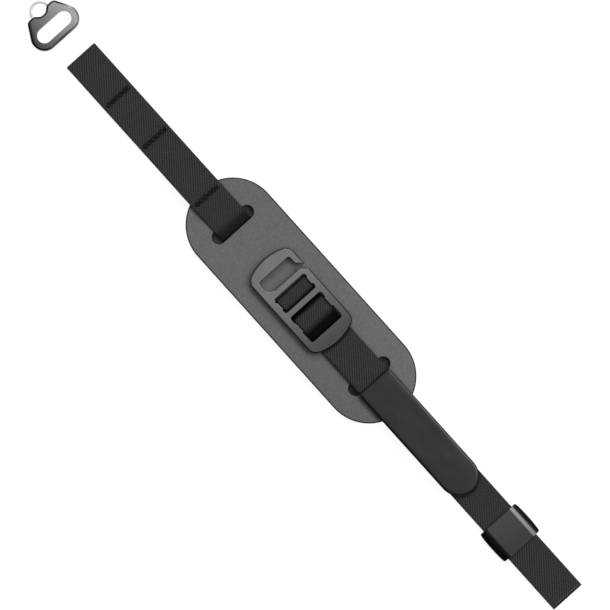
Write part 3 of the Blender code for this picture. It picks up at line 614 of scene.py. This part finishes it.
def creased(obj, angle=50, weight=None):
    """Smooth shading with a crease at every edge sharper than angle. weight favours large faces."""
    obj.data.shade_smooth()
    obj.data.set_sharp_from_angle(angle=math.radians(angle))
    if weight:
        obj.modifiers.new("weight", "WEIGHTED_NORMAL").weight = weight


def stand_for(obj, node):
    """The piece takes the node's place and body, and the node is hidden."""
    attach(obj, NODES[node]["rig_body"])
    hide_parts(node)


def ease(start, end, count=24):
    """A smooth change of level that leaves both ends running level."""
    points = []
    for i in range(count + 1):
        t = i / count
        rise = t * t * (3 - 2 * t)
        points.append((start[0] + (end[0] - start[0]) * t, start[1] + (end[1] - start[1]) * rise))
    return points


def turn_back(x, low, high, side, upwards=True, count=16):
    """A half turn between two levels. It bulges towards side, +1 or -1, from the line at x."""
    radius = (high - low) / 2
    middle = (high + low) / 2
    points = []
    for i in range(count + 1):
        angle = math.pi * i / count - math.pi / 2
        points.append((x + side * radius * math.cos(angle), middle + radius * math.sin(angle)))
    return points if upwards else points[::-1]


def long_route():
    """Left tail, fold, through the pad, off to the right fold and the tail below."""
    table, pad, channel, keeper, pitch = ON_TABLE, ON_PAD, IN_CHANNEL, IN_KEEPER, PITCH
    step_start, step_end = LEFT_TAIL_STEP
    route = [(LEFT_TAIL_X, pad)]
    route += ease((-LIFT_X, pad), (LEFT_TOUCH_X, table))
    route += turn_back(LEFT_FOLD_X, table, table + pitch, -1)
    route += ease((LEFT_TOUCH_X, table + pitch), (-LIFT_X, pad + pitch))
    route += ease((step_start, pad + pitch), (step_end, pad))
    route += ease((DOWN_RUN[0], pad), (DOWN_RUN[1], channel))
    route += ease((UP_RUN[0], channel), (UP_RUN[1], pad))
    route += ease((LIFT_X, pad), (RIGHT_TOUCH_X, keeper + pitch))
    route += turn_back(RIGHT_FOLD_X, keeper, keeper + pitch, 1, upwards=False)
    tail = ease((RIGHT_TOUCH_X, keeper), (LIFT_X, pad - pitch))
    return route + [point for point in tail if point[0] > RIGHT_TAIL_X]


def loop_route():
    """The short loop: out of the slot, round the buckle's low bars and into the tab."""
    above = IN_CHANNEL + PITCH
    route = [(LOOP_START_X, above)]
    route += turn_back(SLOT_X - SLOT_HALF_WIDTH, above, ON_PAD, 1)
    route += turn_back(FRONT_LOW_BAR[0], ON_PAD, OVER_LOW_BAR, -1)
    route += ease((FRONT_LOW_BAR[1], OVER_LOW_BAR), (FRONT_OPENING[1], UNDER_HIGH_BAR))
    route += ease((REAR_OPENING[0], UNDER_HIGH_BAR), (REAR_LOW_BAR[0], OVER_LOW_BAR))
    route += ease((REAR_CREST_X, OVER_LOW_BAR), (REAR_FOOT_X, UNDER_HIGH_BAR))
    return route + [(LOOP_END_X, UNDER_HIGH_BAR)]


def resampled(route, step):
    """Points at even steps along the route, each with its distance and its upward normal."""
    route = [Vector(point) for point in route]
    clean = [route[0]]
    for point in route[1:]:
        if (point - clean[-1]).length > 0.005 * MM:
            clean.append(point)
    marks = [0.0]
    for a, b in zip(clean, clean[1:]):
        marks.append(marks[-1] + (b - a).length)
    count = max(2, round(marks[-1] / step))
    places = []
    leg = 0
    for i in range(count + 1):
        distance = marks[-1] * i / count
        while leg < len(clean) - 2 and marks[leg + 1] < distance:
            leg += 1
        t = (distance - marks[leg]) / (marks[leg + 1] - marks[leg])
        places.append(clean[leg].lerp(clean[leg + 1], t))
    out = []
    for i, place in enumerate(places):
        ahead = places[min(i + 1, count)] - places[max(i - 1, 0)]
        ahead.normalize()
        out.append((place, Vector((-ahead.y, ahead.x)), marks[-1] * i / count))
    return out


def webbing(name, route, node, material):
    """A woven band with rounded, scalloped selvedges, as thick as the webbing."""
    half = WEBBING_WIDTH / 2
    thick = WEBBING_THICKNESS / 2
    profile = [(-1.0, 0.3), (-0.985, 0.62), (-0.955, 0.85), (-0.91, 0.96), (-0.8, 1.0), (-0.5, 1.0)]
    profile = profile + [(0.0, 1.0)] + [(-v, t) for v, t in reversed(profile)]
    ring = profile + [(v, -t) for v, t in reversed(profile)]
    verts, faces, coordinates = [], [], []
    places = resampled(route, PICK / 2)
    for i, (place, normal, distance) in enumerate(places):
        reach = half - (SCALLOP if i % 2 else 0.0)
        for v, t in ring:
            point = place + normal * (t * thick)
            verts.append((point.x, v * reach, point.y))
            coordinates.append((distance / MM, v * half / MM))
    size = len(ring)
    for i in range(len(places) - 1):
        faces += band(i * size, (i + 1) * size, size)
    faces.append(tuple(range(size))[::-1])
    faces.append(tuple((len(places) - 1) * size + j for j in range(size)))
    mesh = solid_mesh(name, verts, faces)
    layer = mesh.uv_layers.new(name="webbing")
    for loop in mesh.loops:
        layer.data[loop.index].uv = coordinates[loop.vertex_index]
    obj = new_object(name, mesh, material)
    creased(obj, 60)
    stand_for(obj, node)


def arc(centre, radius, start, end, count):
    angles = [start + (end - start) * i / count for i in range(count + 1)]
    return [(centre[0] + radius * math.cos(a), centre[1] + radius * math.sin(a)) for a in angles]


def corner_arcs(centre, reach, radius, count):
    """The round corners of a rectangle: their middles lie at reach from the centre."""
    turns = []
    for cx, cy, start in ((1, 1, 0), (-1, 1, 1), (-1, -1, 2), (1, -1, 3)):
        middle = (centre[0] + cx * reach[0], centre[1] + cy * reach[1])
        turns.append(arc(middle, radius, start * math.pi / 2, (start + 1) * math.pi / 2, count))
    return turns


def stadium(inset, half_x, half_y, centre=(0, 0), count=56):
    """Points round a rectangle with half-round ends, moved inwards by inset."""
    half_x, half_y = half_x - inset, half_y - inset
    radius = min(half_x, half_y)
    points = []
    for turn in corner_arcs(centre, (half_x - radius, half_y - radius), radius, count // 4):
        points += [point for point in turn if not points or math.dist(points[-1], point) > 1e-7]
    return points if math.dist(points[0], points[-1]) > 1e-7 else points[:-1]


def rounded(inset, corners):
    """An outline through corners (x, y, radius), moved inwards by inset."""
    places = [Vector(corner[:2]) for corner in corners]
    following = places[1:] + places[:1]
    turning = math.copysign(1, sum(a.cross(b) for a, b in zip(places, following)))
    points = []
    for i, place in enumerate(places):
        radius = corners[i][2]
        before = (places[i - 1] - place).normalized()
        after = (following[i] - place).normalized()
        half = before.angle(after) / 2
        centre = place + (before + after).normalized() * radius / math.sin(half)
        first = place + before * radius / math.tan(half) - centre
        last = place + after * radius / math.tan(half) - centre
        start = math.atan2(first.y, first.x)
        turn = (math.atan2(last.y, last.x) - start + math.pi) % math.tau - math.pi
        outward = turning * after.cross(before) > 0
        reach = max(radius - inset if outward else radius + inset, 0.02 * MM)
        points += arc(centre, reach, start, start + turn, 5 + int(2 * radius / MM))
    return points


def levels_between(bottom, rises, top, drops):
    """Levels for lofted, from (inset, rise) above bottom and (inset, drop) below top in millimetres."""
    levels = [(inset * MM, bottom + rise * MM) for inset, rise in rises]
    return levels + [(inset * MM, top - drop * MM) for inset, drop in drops]


def lofted(name, levels, outline):
    """A solid through outline(inset) at each (inset, level), from the bottom to the top."""
    verts, faces, rows = [], [], []
    for inset, level in levels:
        points = outline(inset)
        rows.append(range(len(verts), len(verts) + len(points)))
        verts += [(x, y, level) for x, y in points]
    for low, high in zip(rows, rows[1:]):
        faces += band(low[0], high[0], len(low))
    faces.append(tuple(rows[0])[::-1])
    faces.append(tuple(rows[-1]))
    return solid_mesh(name, verts, faces)


def carved(obj, meshes, operation="DIFFERENCE"):
    """Cuts each mesh out of the object, or joins it, and applies the result."""
    others = []
    for i, mesh in enumerate(meshes):
        other = bpy.data.objects.new(f"{obj.name}_cut_{i}", mesh)
        bpy.context.scene.collection.objects.link(other)
        modifier = obj.modifiers.new(f"cut_{i}", "BOOLEAN")
        modifier.object = other
        modifier.operation = operation
        modifier.solver = "EXACT"
        others.append(other)
    bpy.context.view_layer.update()
    graph = bpy.context.evaluated_depsgraph_get()
    mesh = bpy.data.meshes.new_from_object(obj.evaluated_get(graph))
    obj.modifiers.clear()
    obj.data = mesh
    for other in others:
        bpy.data.objects.remove(other, do_unlink=True)
    return obj


def polished_shading(obj, sharp=40, weight=90):
    """Smooth shading that keeps flat faces flat and true corners sharp."""
    weld = obj.modifiers.new("weld", "WELD")
    weld.merge_threshold = 0.002 * MM
    obj.data.shade_smooth()
    split = obj.modifiers.new("split", "EDGE_SPLIT")
    split.split_angle = math.radians(sharp)
    obj.modifiers.new("weight", "WEIGHTED_NORMAL").weight = weight


def box_mesh(low, high):
    bm = bmesh.new()
    bmesh.ops.create_cube(bm, size=1.0)
    low, high = Vector(low), Vector(high)
    bmesh.ops.scale(bm, vec=high - low, verts=bm.verts)
    bmesh.ops.translate(bm, vec=(high + low) / 2, verts=bm.verts)
    mesh = bpy.data.meshes.new("box")
    bm.to_mesh(mesh)
    bm.free()
    return mesh


def slot_meshes(levels):
    """Cutters for the pad's two slots."""
    slot = partial(stadium, half_x=SLOT_HALF_WIDTH, half_y=SLOT_HALF_LENGTH)
    return [lofted("slot", levels, partial(slot, centre=(side * SLOT_X, 0))) for side in (-1, 1)]


def make_pad():
    """Panel, cushion and backing, with the slots cut through the upper two and rims that flare out."""
    low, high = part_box("pad_top_panel")
    half_x, half_y = (high.x - low.x) / 2, (high.y - low.y) / 2
    outline = partial(stadium, half_x=half_x, half_y=half_y, count=176)
    foot = [(0.35, 0), (0.1, 0.08), (0.0, 0.3)]
    rim = [(0.02, 0.62), (0.1, 0.4), (0.27, 0.22), (0.5, 0.11), (0.85, 0.04), (1.6, 0.01), (3.0, 0)]
    levels = levels_between(low.z, foot, high.z, rim)
    panel = new_object("pad_face", lofted("pad_face", levels, outline), panel_material(half_x, half_y))
    flare = [(0, 0.35), (-0.12, 0.12), (-0.35, 0), (-0.35, -1)]
    carved(panel, slot_meshes(levels_between(low.z, [(0, -1)], high.z, flare)))
    creased(panel, weight=90)
    stand_for(panel, "pad_top_panel")

    low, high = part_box("pad_foam_core")
    waist = (0.12 * MM, (low.z + high.z) / 2)
    levels = levels_between(low.z, [(0.55, 0), (0.25, 0.35)], high.z, [(0.25, 0.35), (0.55, 0)])
    levels.insert(2, waist)
    core = new_object("pad_cushion", lofted("pad_cushion", levels, outline), foam_material())
    channel = box_mesh(
        (-SLOT_X, -CHANNEL_HALF_WIDTH, low.z - MM), (SLOT_X, CHANNEL_HALF_WIDTH, high.z + MM)
    )
    carved(core, [channel] + slot_meshes([(0, low.z - MM), (0, high.z + MM)]))
    creased(core)
    stand_for(core, "pad_foam_core")

    low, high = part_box("pad_back_lining")
    foot = [(1.3, 0), (0.65, 0.06), (0.25, 0.25), (0.05, 0.55), (0.0, 0.8)]
    levels = levels_between(low.z, foot, high.z, [(0.1, 0.1), (0.3, 0)])
    lining = new_object("pad_backing", lofted("pad_backing", levels, outline), lining_material())
    creased(lining, weight=90)
    stand_for(lining, "pad_back_lining")


def make_tack(name, node, seed, material):
    """Dense zigzag stitching: six heavy threads that cross like a chain."""
    rng = random.Random(seed)
    low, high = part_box(node)
    centre = (low + high) / 2
    curve = bpy.data.curves.new(name, "CURVE")
    curve.dimensions = "3D"
    curve.bevel_depth = THREAD_RADIUS
    curve.bevel_resolution = 1
    curve.use_fill_caps = True
    reach = (high.x - low.x) / 2 - TACK_SIDE_MARGIN
    length = high.y - low.y - 2 * TACK_END_MARGIN
    loops = rng.choice((5.0, 5.5, 6.0))
    steps = 72
    for strand in range(6):
        spread = rng.uniform(0.88, 1.0)
        phase = math.pi * (strand % 2) + rng.uniform(-0.13, 0.13)
        points = []
        for i in range(steps + 1):
            t = i / steps
            turn = math.pi * loops * t + phase
            blob = 0.88 + 0.12 * math.cos(5.1 * t * math.pi + seed)
            x = centre.x + reach * spread * blob * math.sin(turn)
            y = low.y + TACK_END_MARGIN + length * t + rng.uniform(-0.05, 0.05) * MM
            points.append((x, y, low.z + (0.08 + 0.03 * strand + 0.05 * math.cos(turn)) * MM))
        spline = curve.splines.new("POLY")
        spline.points.add(len(points) - 1)
        for point, place in zip(spline.points, points):
            point.co = (*place, 1)
    obj = bpy.data.objects.new(name, curve)
    bpy.context.scene.collection.objects.link(obj)
    curve.materials.append(material)
    stand_for(obj, node)


def tab_outline(low, high, inset):
    """The tab's upper half outline from its round end to its square end: (x, y) pairs."""
    half = high.y
    radius = half - inset
    centre = high.x - half
    points = arc((centre, 0), radius, 0, math.pi / 2, 24)
    corner = max(TAB_CORNER_RADIUS - inset, 0.05 * MM)
    square = low.x + inset + corner
    steps = 40
    for i in range(1, steps + 1):
        points.append((centre + (square - centre) * i / steps, radius))
    return points + arc((square, radius - corner), corner, math.pi / 2, math.pi, 4)[1:]


def make_tab(material):
    """Moulded tab with a faintly crowned face and rounded edges, which follows the strap down."""
    low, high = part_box("pull_tab")
    bottom, top = TAB_BOTTOM, high.z
    high.y += TAB_TRIM
    high.x -= TAB_TRIM
    half = high.y
    foot = [(0.3, 0), (0.09, 0.09), (0.0, 0.3)]
    rim = [(0.0, 0.85), (0.04, 0.64), (0.14, 0.48), (0.3, 0.34), (0.55, 0.21)]
    rim += [(0.9, 0.1), (1.25, 0.03), (1.8, 0.0), (4.0, 0.0)]

    def settled(x, y, z):
        t = min(max((x - LIFT_X) / (RIGHT_TOUCH_X - LIFT_X), 0.0), 1.0)
        dome = TAB_CROWN * (y / half) ** 2 if z > top - 0.5 * MM else 0.0
        return (x, y, z - TAB_DROP * t * t * (3 - 2 * t) - dome)

    verts, faces, rows = [], [], []
    for inset, level in levels_between(bottom, foot, top, rim):
        upper = tab_outline(low, high, inset)
        outline = upper + [(x, -y) for x, y in reversed(upper[1:])]
        rows.append((len(verts), len(outline), len(upper)))
        verts += [settled(x, y, level) for x, y in outline]
    size = rows[0][1]
    for (a, _, _), (b, _, _) in zip(rows, rows[1:]):
        faces += band(a, b, size)
    for (first, _, upper_count), turned in ((rows[0], True), (rows[-1], False)):
        caps = [(first, first + 1, first + size - 1)]
        for j in range(1, upper_count - 1):
            caps.append((first + j, first + j + 1, first + size - j - 1, first + size - j))
        faces += [cap[::-1] if turned else cap for cap in caps]
    mesh = bpy.data.meshes.new("tab")
    mesh.from_pydata(verts, [], faces)
    tab = new_object("tab", mesh, material)
    socket = box_mesh(
        (low.x - MM, -SOCKET_HALF_WIDTH, bottom - MM),
        (low.x + SOCKET_DEPTH, SOCKET_HALF_WIDTH, SOCKET_TOP),
    )
    carved(tab, [socket])
    creased(tab, weight=60)
    stand_for(tab, "pull_tab")


def lozenge(inset):
    """The buckle's outline: straight sides and bowed ends."""
    corner = BUCKLE_CORNER_RADIUS
    bow = BUCKLE_END_RADIUS
    centre_y = BUCKLE_HALF_WIDTH - corner
    centre_x = math.sqrt((bow - corner) ** 2 - centre_y**2)
    lean = math.atan2(centre_y, centre_x)
    end = arc((centre_x, centre_y), corner - inset, math.pi / 2, lean, 16)
    end += arc((0, 0), bow - inset, lean, -lean, 40)[1:-1]
    end += arc((centre_x, -centre_y), corner - inset, -lean, -math.pi / 2, 16)
    return end + [(-x, y) for x, y in reversed(end)]


def hook_mouth():
    """The opening behind the hook, with the throat that leads out of it over the buckle's edge."""
    half, corner = OPENING_HALF_LENGTH, OPENING_CORNER_RADIUS
    return [
        (MOUTH_RIGHT_X, MOUTH_Y, MOUTH_RADIUS),
        (HOOK_BAR_LEFT, half, corner),
        (HOOK_BAR_LEFT, -half, HOOK_HEEL_RADIUS),
        (HOOK_INNER_X, -half, corner),
        (HOOK_INNER_X, half, corner),
        (HOOK_THROAT_X, half, corner),
        (MOUTH_LEFT_X, MOUTH_Y, MOUTH_RADIUS),
    ]


def strap_opening(opening, bar):
    """An opening whose side walls step in where the low bar meets them."""
    left, right = opening
    start, end = bar
    half, corner = OPENING_HALF_LENGTH, OPENING_CORNER_RADIUS
    upper = [
        (right, half, corner),
        (end + BUMP_SLOPE, half, BUMP_RADIUS),
        (end, STRAP_ROOM, BUMP_RADIUS),
        (start, STRAP_ROOM, BUMP_RADIUS),
        (start - BUMP_SLOPE, half, BUMP_RADIUS),
        (left, half, corner),
    ]
    return upper + [(x, -y, radius) for x, y, radius in reversed(upper)]


def make_hook(material):
    """One casting: a chamfered rim, three openings with eased rims, and two low bars."""
    low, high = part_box("hook_buckle")
    foot = [(0.75, 0), (0.35, 0.12), (0.1, 0.4), (0.0, 0.75)]
    levels = levels_between(low.z, foot, high.z, [(0.0, 0.5), (0.62, 0.035), (0.71, 0)])
    hook = new_object("hook", lofted("hook", levels, lozenge), material)
    eased = [(0, 0.3), (-0.04, 0.15), (-0.13, 0.05), (-0.3, 0), (-0.3, -1)]
    eased = levels_between(low.z, [(0, -1)], high.z, eased)
    openings = [
        hook_mouth(),
        strap_opening(FRONT_OPENING, FRONT_LOW_BAR),
        strap_opening(REAR_OPENING, REAR_LOW_BAR),
    ]
    cutters = [lofted("opening", eased, partial(rounded, corners=corners)) for corners in openings]
    cutters.append(box_mesh(
        (FRONT_OPENING[1] - MM, -STRAP_ROOM, low.z - MM),
        (BUCKLE_END_RADIUS + MM, STRAP_ROOM, STRAP_ROOF),
    ))
    carved(hook, cutters)
    bars = []
    for start, end in (FRONT_LOW_BAR, REAR_LOW_BAR):
        bars.append(box_mesh((start, -LOW_BAR_REACH, LOW_BAR_BOTTOM), (end, LOW_BAR_REACH, LOW_BAR_TOP)))
    carved(hook, bars, "UNION")
    polished_shading(hook, 14)
    stand_for(hook, "hook_buckle")


def keeper_section(top):
    """The keeper's outside, seen along the strap: a flat top that rolls over into its sides."""
    steps = 8
    y, z = KEEPER_SLOPES[0][0], top / MM
    points = [(y, z)]
    for (start, first), (end, last) in zip(KEEPER_SLOPES, KEEPER_SLOPES[1:]):
        for i in range(steps):
            slope = first + (last - first) * (i + 0.5) / steps
            y += (end - start) / steps
            z -= (end - start) / steps * math.tan(math.radians(slope))
            points.append((y, z))
    points += [(KEEPER_SLOPES[-1][0], z - KEEPER_SIDE_DROP), *KEEPER_UNDERSIDE]
    points += [(-y, z) for y, z in reversed(points)]
    return [(y * MM, z * MM) for y, z in points]


def keeper_plan(inset, centre_x):
    """The keeper from above: its sides bow outwards. They stand upright, so the inset plays no part."""
    half_x, half_y, bow, corner = KEEPER_HALF_LENGTH, KEEPER_HALF_WIDTH, KEEPER_BOW, KEEPER_CORNER
    side = []
    for i in range(8):
        angle = math.pi / 2 * i / 8
        x = half_x - corner * (1 - math.cos(angle))
        side.append((x, half_y - bow - corner * (1 - math.sin(angle))))
    for i in range(33):
        x = (half_x - KEEPER_BOW_MARGIN) * (1 - i / 16)
        side.append((x, half_y - bow * (x / half_x) ** 2))
    side += [(-x, y) for x, y in reversed(side[:8])]
    points = side + [(-x, -y) for x, y in side]
    return [(centre_x + x, y) for x, y in points]


def make_keeper(material):
    """A sleeve round the doubled strap, cut from its cross-section and its plan."""
    low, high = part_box("strap_keeper")
    middle, top = (low.x + high.x) / 2, high.z
    section = keeper_section(top)
    verts, size = [], len(section)
    for x in (low.x - MM, high.x + MM):
        verts += [(x, y, z) for y, z in section]
    faces = [tuple(range(size)), tuple(range(size, 2 * size))[::-1]]
    faces += [(j, (j + 1) % size, size + (j + 1) % size, size + j) for j in range(size)]
    keeper = new_object("keeper", solid_mesh("keeper", verts, faces), material)
    plan = lofted("plan", [(0, -MM), (0, top + MM)], partial(keeper_plan, centre_x=middle))
    carved(keeper, [plan], "INTERSECT")
    hole = box_mesh(
        (low.x - 2 * MM, -STRAP_ROOM, KEEPER_FLOOR), (high.x + 2 * MM, STRAP_ROOM, KEEPER_CEILING)
    )
    carved(keeper, [hole])
    edge = keeper.modifiers.new("edge", "BEVEL")
    edge.width = 0.35 * MM
    edge.segments = 3
    edge.limit_method = "ANGLE"
    edge.angle_limit = math.radians(60)
    polished_shading(keeper, 40)
    stand_for(keeper, "strap_keeper")


def connector_corners(right, left, half, trim=0.0):
    """The connector's outline. trim brings its shoulders and lobes in and eases its outer corners."""
    lobe, lobe_radius = CONNECTOR_LOBE
    upper = [
        (right, half, CONNECTOR_CORNER_RADIUS - trim),
        (right - CONNECTOR_SHOULDER_RUN + trim, half, CONNECTOR_SHOULDER_RADIUS),
        (left, lobe - trim, lobe_radius),
        (left, *CONNECTOR_NOTCH_MOUTH),
        (left + CONNECTOR_NOTCH_DEPTH, *CONNECTOR_NOTCH_FLOOR),
    ]
    corners = upper + [(x, -y, radius) for x, y, radius in reversed(upper)]
    return [(x, y + CONNECTOR_Y, radius) for x, y, radius in corners]


def annulus(centre, inner, outer, bottom, top, count=96):
    """A flat ring between two radii and two levels."""
    verts, faces = [], []
    for radius, level in ((outer, bottom), (outer, top), (inner, top), (inner, bottom)):
        verts += [(x, y, level) for x, y in arc(centre, radius, 0, math.tau, count)[:-1]]
    for row in range(4):
        faces += band(row * count, (row + 1) % 4 * count, count)
    mesh = bpy.data.meshes.new("annulus")
    mesh.from_pydata(verts, [], faces)
    return mesh


def crown(mesh, groove, top, half):
    """Bends the face down to both sides, like a cylinder along X, and leaves all below groove."""
    bm = bmesh.new()
    bm.from_mesh(mesh)
    for i in range(1, 40):
        place = (0, half * (i / 20 - 1) + CONNECTOR_Y, 0)
        geometry = list(bm.verts) + list(bm.edges) + list(bm.faces)
        bmesh.ops.bisect_plane(bm, geom=geometry, plane_co=place, plane_no=(0, 1, 0))
    for vert in bm.verts:
        away = vert.co.y - CONNECTOR_Y
        drop = CONNECTOR_CROWN_RADIUS - math.sqrt(CONNECTOR_CROWN_RADIUS**2 - away**2)
        vert.co.z -= drop * max(0.0, (vert.co.z - groove) / (top - groove))
    bm.to_mesh(mesh)
    bm.free()


def make_connector(material):
    """A crowned plate with a chamfered rim and a slot. The ring turns in a groove below its roof."""
    low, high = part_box("connector_body")
    bottom, top = low.z, high.z
    right, left, half = high.x, low.x, (high.y - low.y) / 2
    outline = partial(rounded, corners=connector_corners(right, left, half))
    rim = [(0.0, 0.8), (1.08, 0.04), (1.18, 0)]
    levels = levels_between(bottom, [(0.1, 0), (0.0, 0.1)], top, rim)
    body = new_object("connector", lofted("connector", levels, outline), material)
    slot = partial(stadium, centre=(right - CONNECTOR_SLOT_INSET, CONNECTOR_Y), count=96)
    eased = [(0, 0.25), (-0.03, 0.12), (-0.1, 0.04), (-0.25, 0), (-0.25, -1)]
    eased = levels_between(0, [(0, -1)], top, eased)
    ring_low, ring_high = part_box("split_ring")
    centre = ((ring_low.x + ring_high.x) / 2, (ring_low.y + ring_high.y) / 2)
    groove = annulus(centre, *GROOVE_RADII, bottom - MM, GROOVE_TOP)
    carved(body, [lofted("slot", eased, partial(slot, **CONNECTOR_SLOT)), groove])
    crown(body.data, GROOVE_TOP, top, half)
    polished_shading(body, 14)
    stand_for(body, "connector_body")

    low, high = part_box("connector_back_cover")
    inset = COVER_INSET
    levels = levels_between(low.z, [(0.12, 0), (0, 0.12)], high.z, [(0, 0)])
    outline = partial(rounded, corners=connector_corners(right - inset, left + inset, half - inset, inset))
    cover = new_object("connector_back", lofted("connector_back", levels, outline), material)
    wider = {side: reach + inset for side, reach in CONNECTOR_SLOT.items()}
    carved(cover, [lofted("slot", [(0, low.z - MM), (0, high.z + MM)], partial(slot, **wider))])
    polished_shading(cover, 32)
    stand_for(cover, "connector_back_cover")


def make_ring(material):
    """Flat wire with eased corners, wound nearly twice round."""
    low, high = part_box("split_ring")
    centre = ((low.x + high.x) / 2, (low.y + high.y) / 2)
    section = sum(corner_arcs((0, 0), WIRE_CORNERS, WIRE_CORNER_RADIUS, 4), [])
    steps = 240
    size = len(section)
    verts, faces = [], []
    for i in range(steps + 1):
        turned = RING_TURNS * i / steps
        angle = RING_START_ANGLE + math.tau * turned
        level = low.z + WIRE_HALF_HEIGHT + RING_CLIMB * turned
        for across, up in section:
            radius = RING_RADIUS + across
            x, y = centre[0] + radius * math.cos(angle), centre[1] + radius * math.sin(angle)
            verts.append((x, y, level + up))
    for i in range(steps):
        faces += band(i * size, (i + 1) * size, size)
    faces += [tuple(range(size)), tuple(range(steps * size, (steps + 1) * size))[::-1]]
    ring = new_object("ring_wire", solid_mesh("ring_wire", verts, faces), material)
    polished_shading(ring, 60)
    stand_for(ring, "split_ring")


# Light, floor and camera

def make_floor():
    """White paper, which the camera and reflections see as almost pure white but for the shadows."""
    bm = bmesh.new()
    bmesh.ops.create_grid(bm, x_segments=1, y_segments=1, size=FLOOR_SIZE)
    mesh = bpy.data.meshes.new("floor")
    bm.to_mesh(mesh)
    bm.free()
    g = Graph("floor_white")
    g.finish((0.8, 0.8, 0.8, 1), 0.9, Specular_IOR_Level=0.0)
    path = g.node("ShaderNodeLightPath")
    seen = g.math("MAXIMUM", path.outputs["Is Camera Ray"], path.outputs["Is Glossy Ray"])
    seen = g.math("MAXIMUM", seen, path.outputs["Is Transmission Ray"])
    paper = g.node("ShaderNodeBsdfDiffuse")
    paper.inputs["Color"].default_value = (0.16, 0.16, 0.16, 1)
    glow = g.node("ShaderNodeEmission")
    glow.inputs["Strength"].default_value = 0.92
    both = g.node("ShaderNodeAddShader")
    mix = g.node("ShaderNodeMixShader")
    for start, end in (
        (paper.outputs[0], both.inputs[0]),
        (glow.outputs[0], both.inputs[1]),
        (seen, mix.inputs[0]),
        (g.shader.outputs[0], mix.inputs[1]),
        (both.outputs[0], mix.inputs[2]),
        (mix.outputs[0], g.tree.nodes["Material Output"].inputs["Surface"]),
    ):
        g.tree.links.new(start, end)
    floor = new_object("floor", mesh, g.material)
    floor.location.z = CAD_BOX[0][2] - FLOOR_DROP


def make_world():
    """A pale room, brighter overhead and towards the strap's +Y, dim low down, with a white skyline."""
    world = bpy.data.worlds.new("studio")
    bpy.context.scene.world = world
    world.use_nodes = True
    tree = world.node_tree
    where = tree.nodes.new("ShaderNodeTexCoord")
    split = tree.nodes.new("ShaderNodeSeparateXYZ")
    tree.links.new(where.outputs["Generated"], split.inputs[0])
    parts = []
    for axis, start, end, low, high in (ACROSS, RISE, OVERHEAD, SKYLINE):
        level = tree.nodes.new("ShaderNodeMapRange")
        level.interpolation_type = "SMOOTHSTEP"
        for name, value in (("From Min", start), ("From Max", end), ("To Min", low), ("To Max", high)):
            level.inputs[name].default_value = value
        tree.links.new(split.outputs[axis], level.inputs["Value"])
        parts.append(level.outputs[0])
    across, rise, overhead, skyline = parts
    total = tree.nodes.new("ShaderNodeMath")
    tree.links.new(rise, total.inputs[0])
    tree.links.new(overhead, total.inputs[1])
    strength = tree.nodes.new("ShaderNodeMath")
    strength.operation = "MULTIPLY_ADD"
    for socket, value in zip(strength.inputs, (total.outputs[0], across, skyline)):
        tree.links.new(value, socket)
    room = tree.nodes["Background"]
    room.inputs["Color"].default_value = (1, 1, 1, 1)
    tree.links.new(strength.outputs[0], room.inputs["Strength"])


def add_softbox(name, place, aim, size, energy):
    """A flat lamp at place, turned to the point aim."""
    light = bpy.data.lights.new(name, "AREA")
    light.shape = "RECTANGLE"
    light.size, light.size_y = size
    light.energy = energy
    lamp = bpy.data.objects.new(name, light)
    bpy.context.scene.collection.objects.link(lamp)
    lamp.location = place
    lamp.rotation_euler = (Vector(place) - Vector(aim)).to_track_quat("Z", "Y").to_euler()


def make_camera():
    camera = bpy.data.cameras.new("camera")
    camera.sensor_width = 36.0
    camera.lens = CAMERA_LENS
    camera.clip_end = 20.0
    obj = bpy.data.objects.new("camera", camera)
    bpy.context.scene.collection.objects.link(obj)
    obj.location = (*CAMERA_TARGET, CAMERA_HEIGHT)
    obj.rotation_euler = (0, 0, STRAP_ANGLE)
    bpy.context.scene.camera = obj


make_camera()
make_pad()
# Both webbing materials carry painted shade; the copy for the loop also has painted shade in the buckle's
# openings.
long_look = webbing_material("webbing_twill", LONG_PAINTED_LIGHT)
loop_look = webbing_material("webbing_twill_in_buckle", LOOP_PAINTED_SHADE)
webbing("long_webbing", long_route(), "long_strap", long_look)
webbing("loop_webbing", loop_route(), "buckle_loop_strap", loop_look)
thread_look = thread_material()
for number in (1, 2, 3):
    make_tack(f"bar_tack_thread_{number}", f"bar_tack_{number}", 10 + number, thread_look)

make_hook(buckle_material())
make_tab(rubber_material())
make_keeper(plastic_material())
make_connector(connector_material())
make_ring(steel_material())

make_floor()
make_world()
add_softbox("key", **KEY_LAMP)
add_softbox("strip", **STRIP_LAMP)

bpy.context.scene.view_settings.view_transform = "Standard"
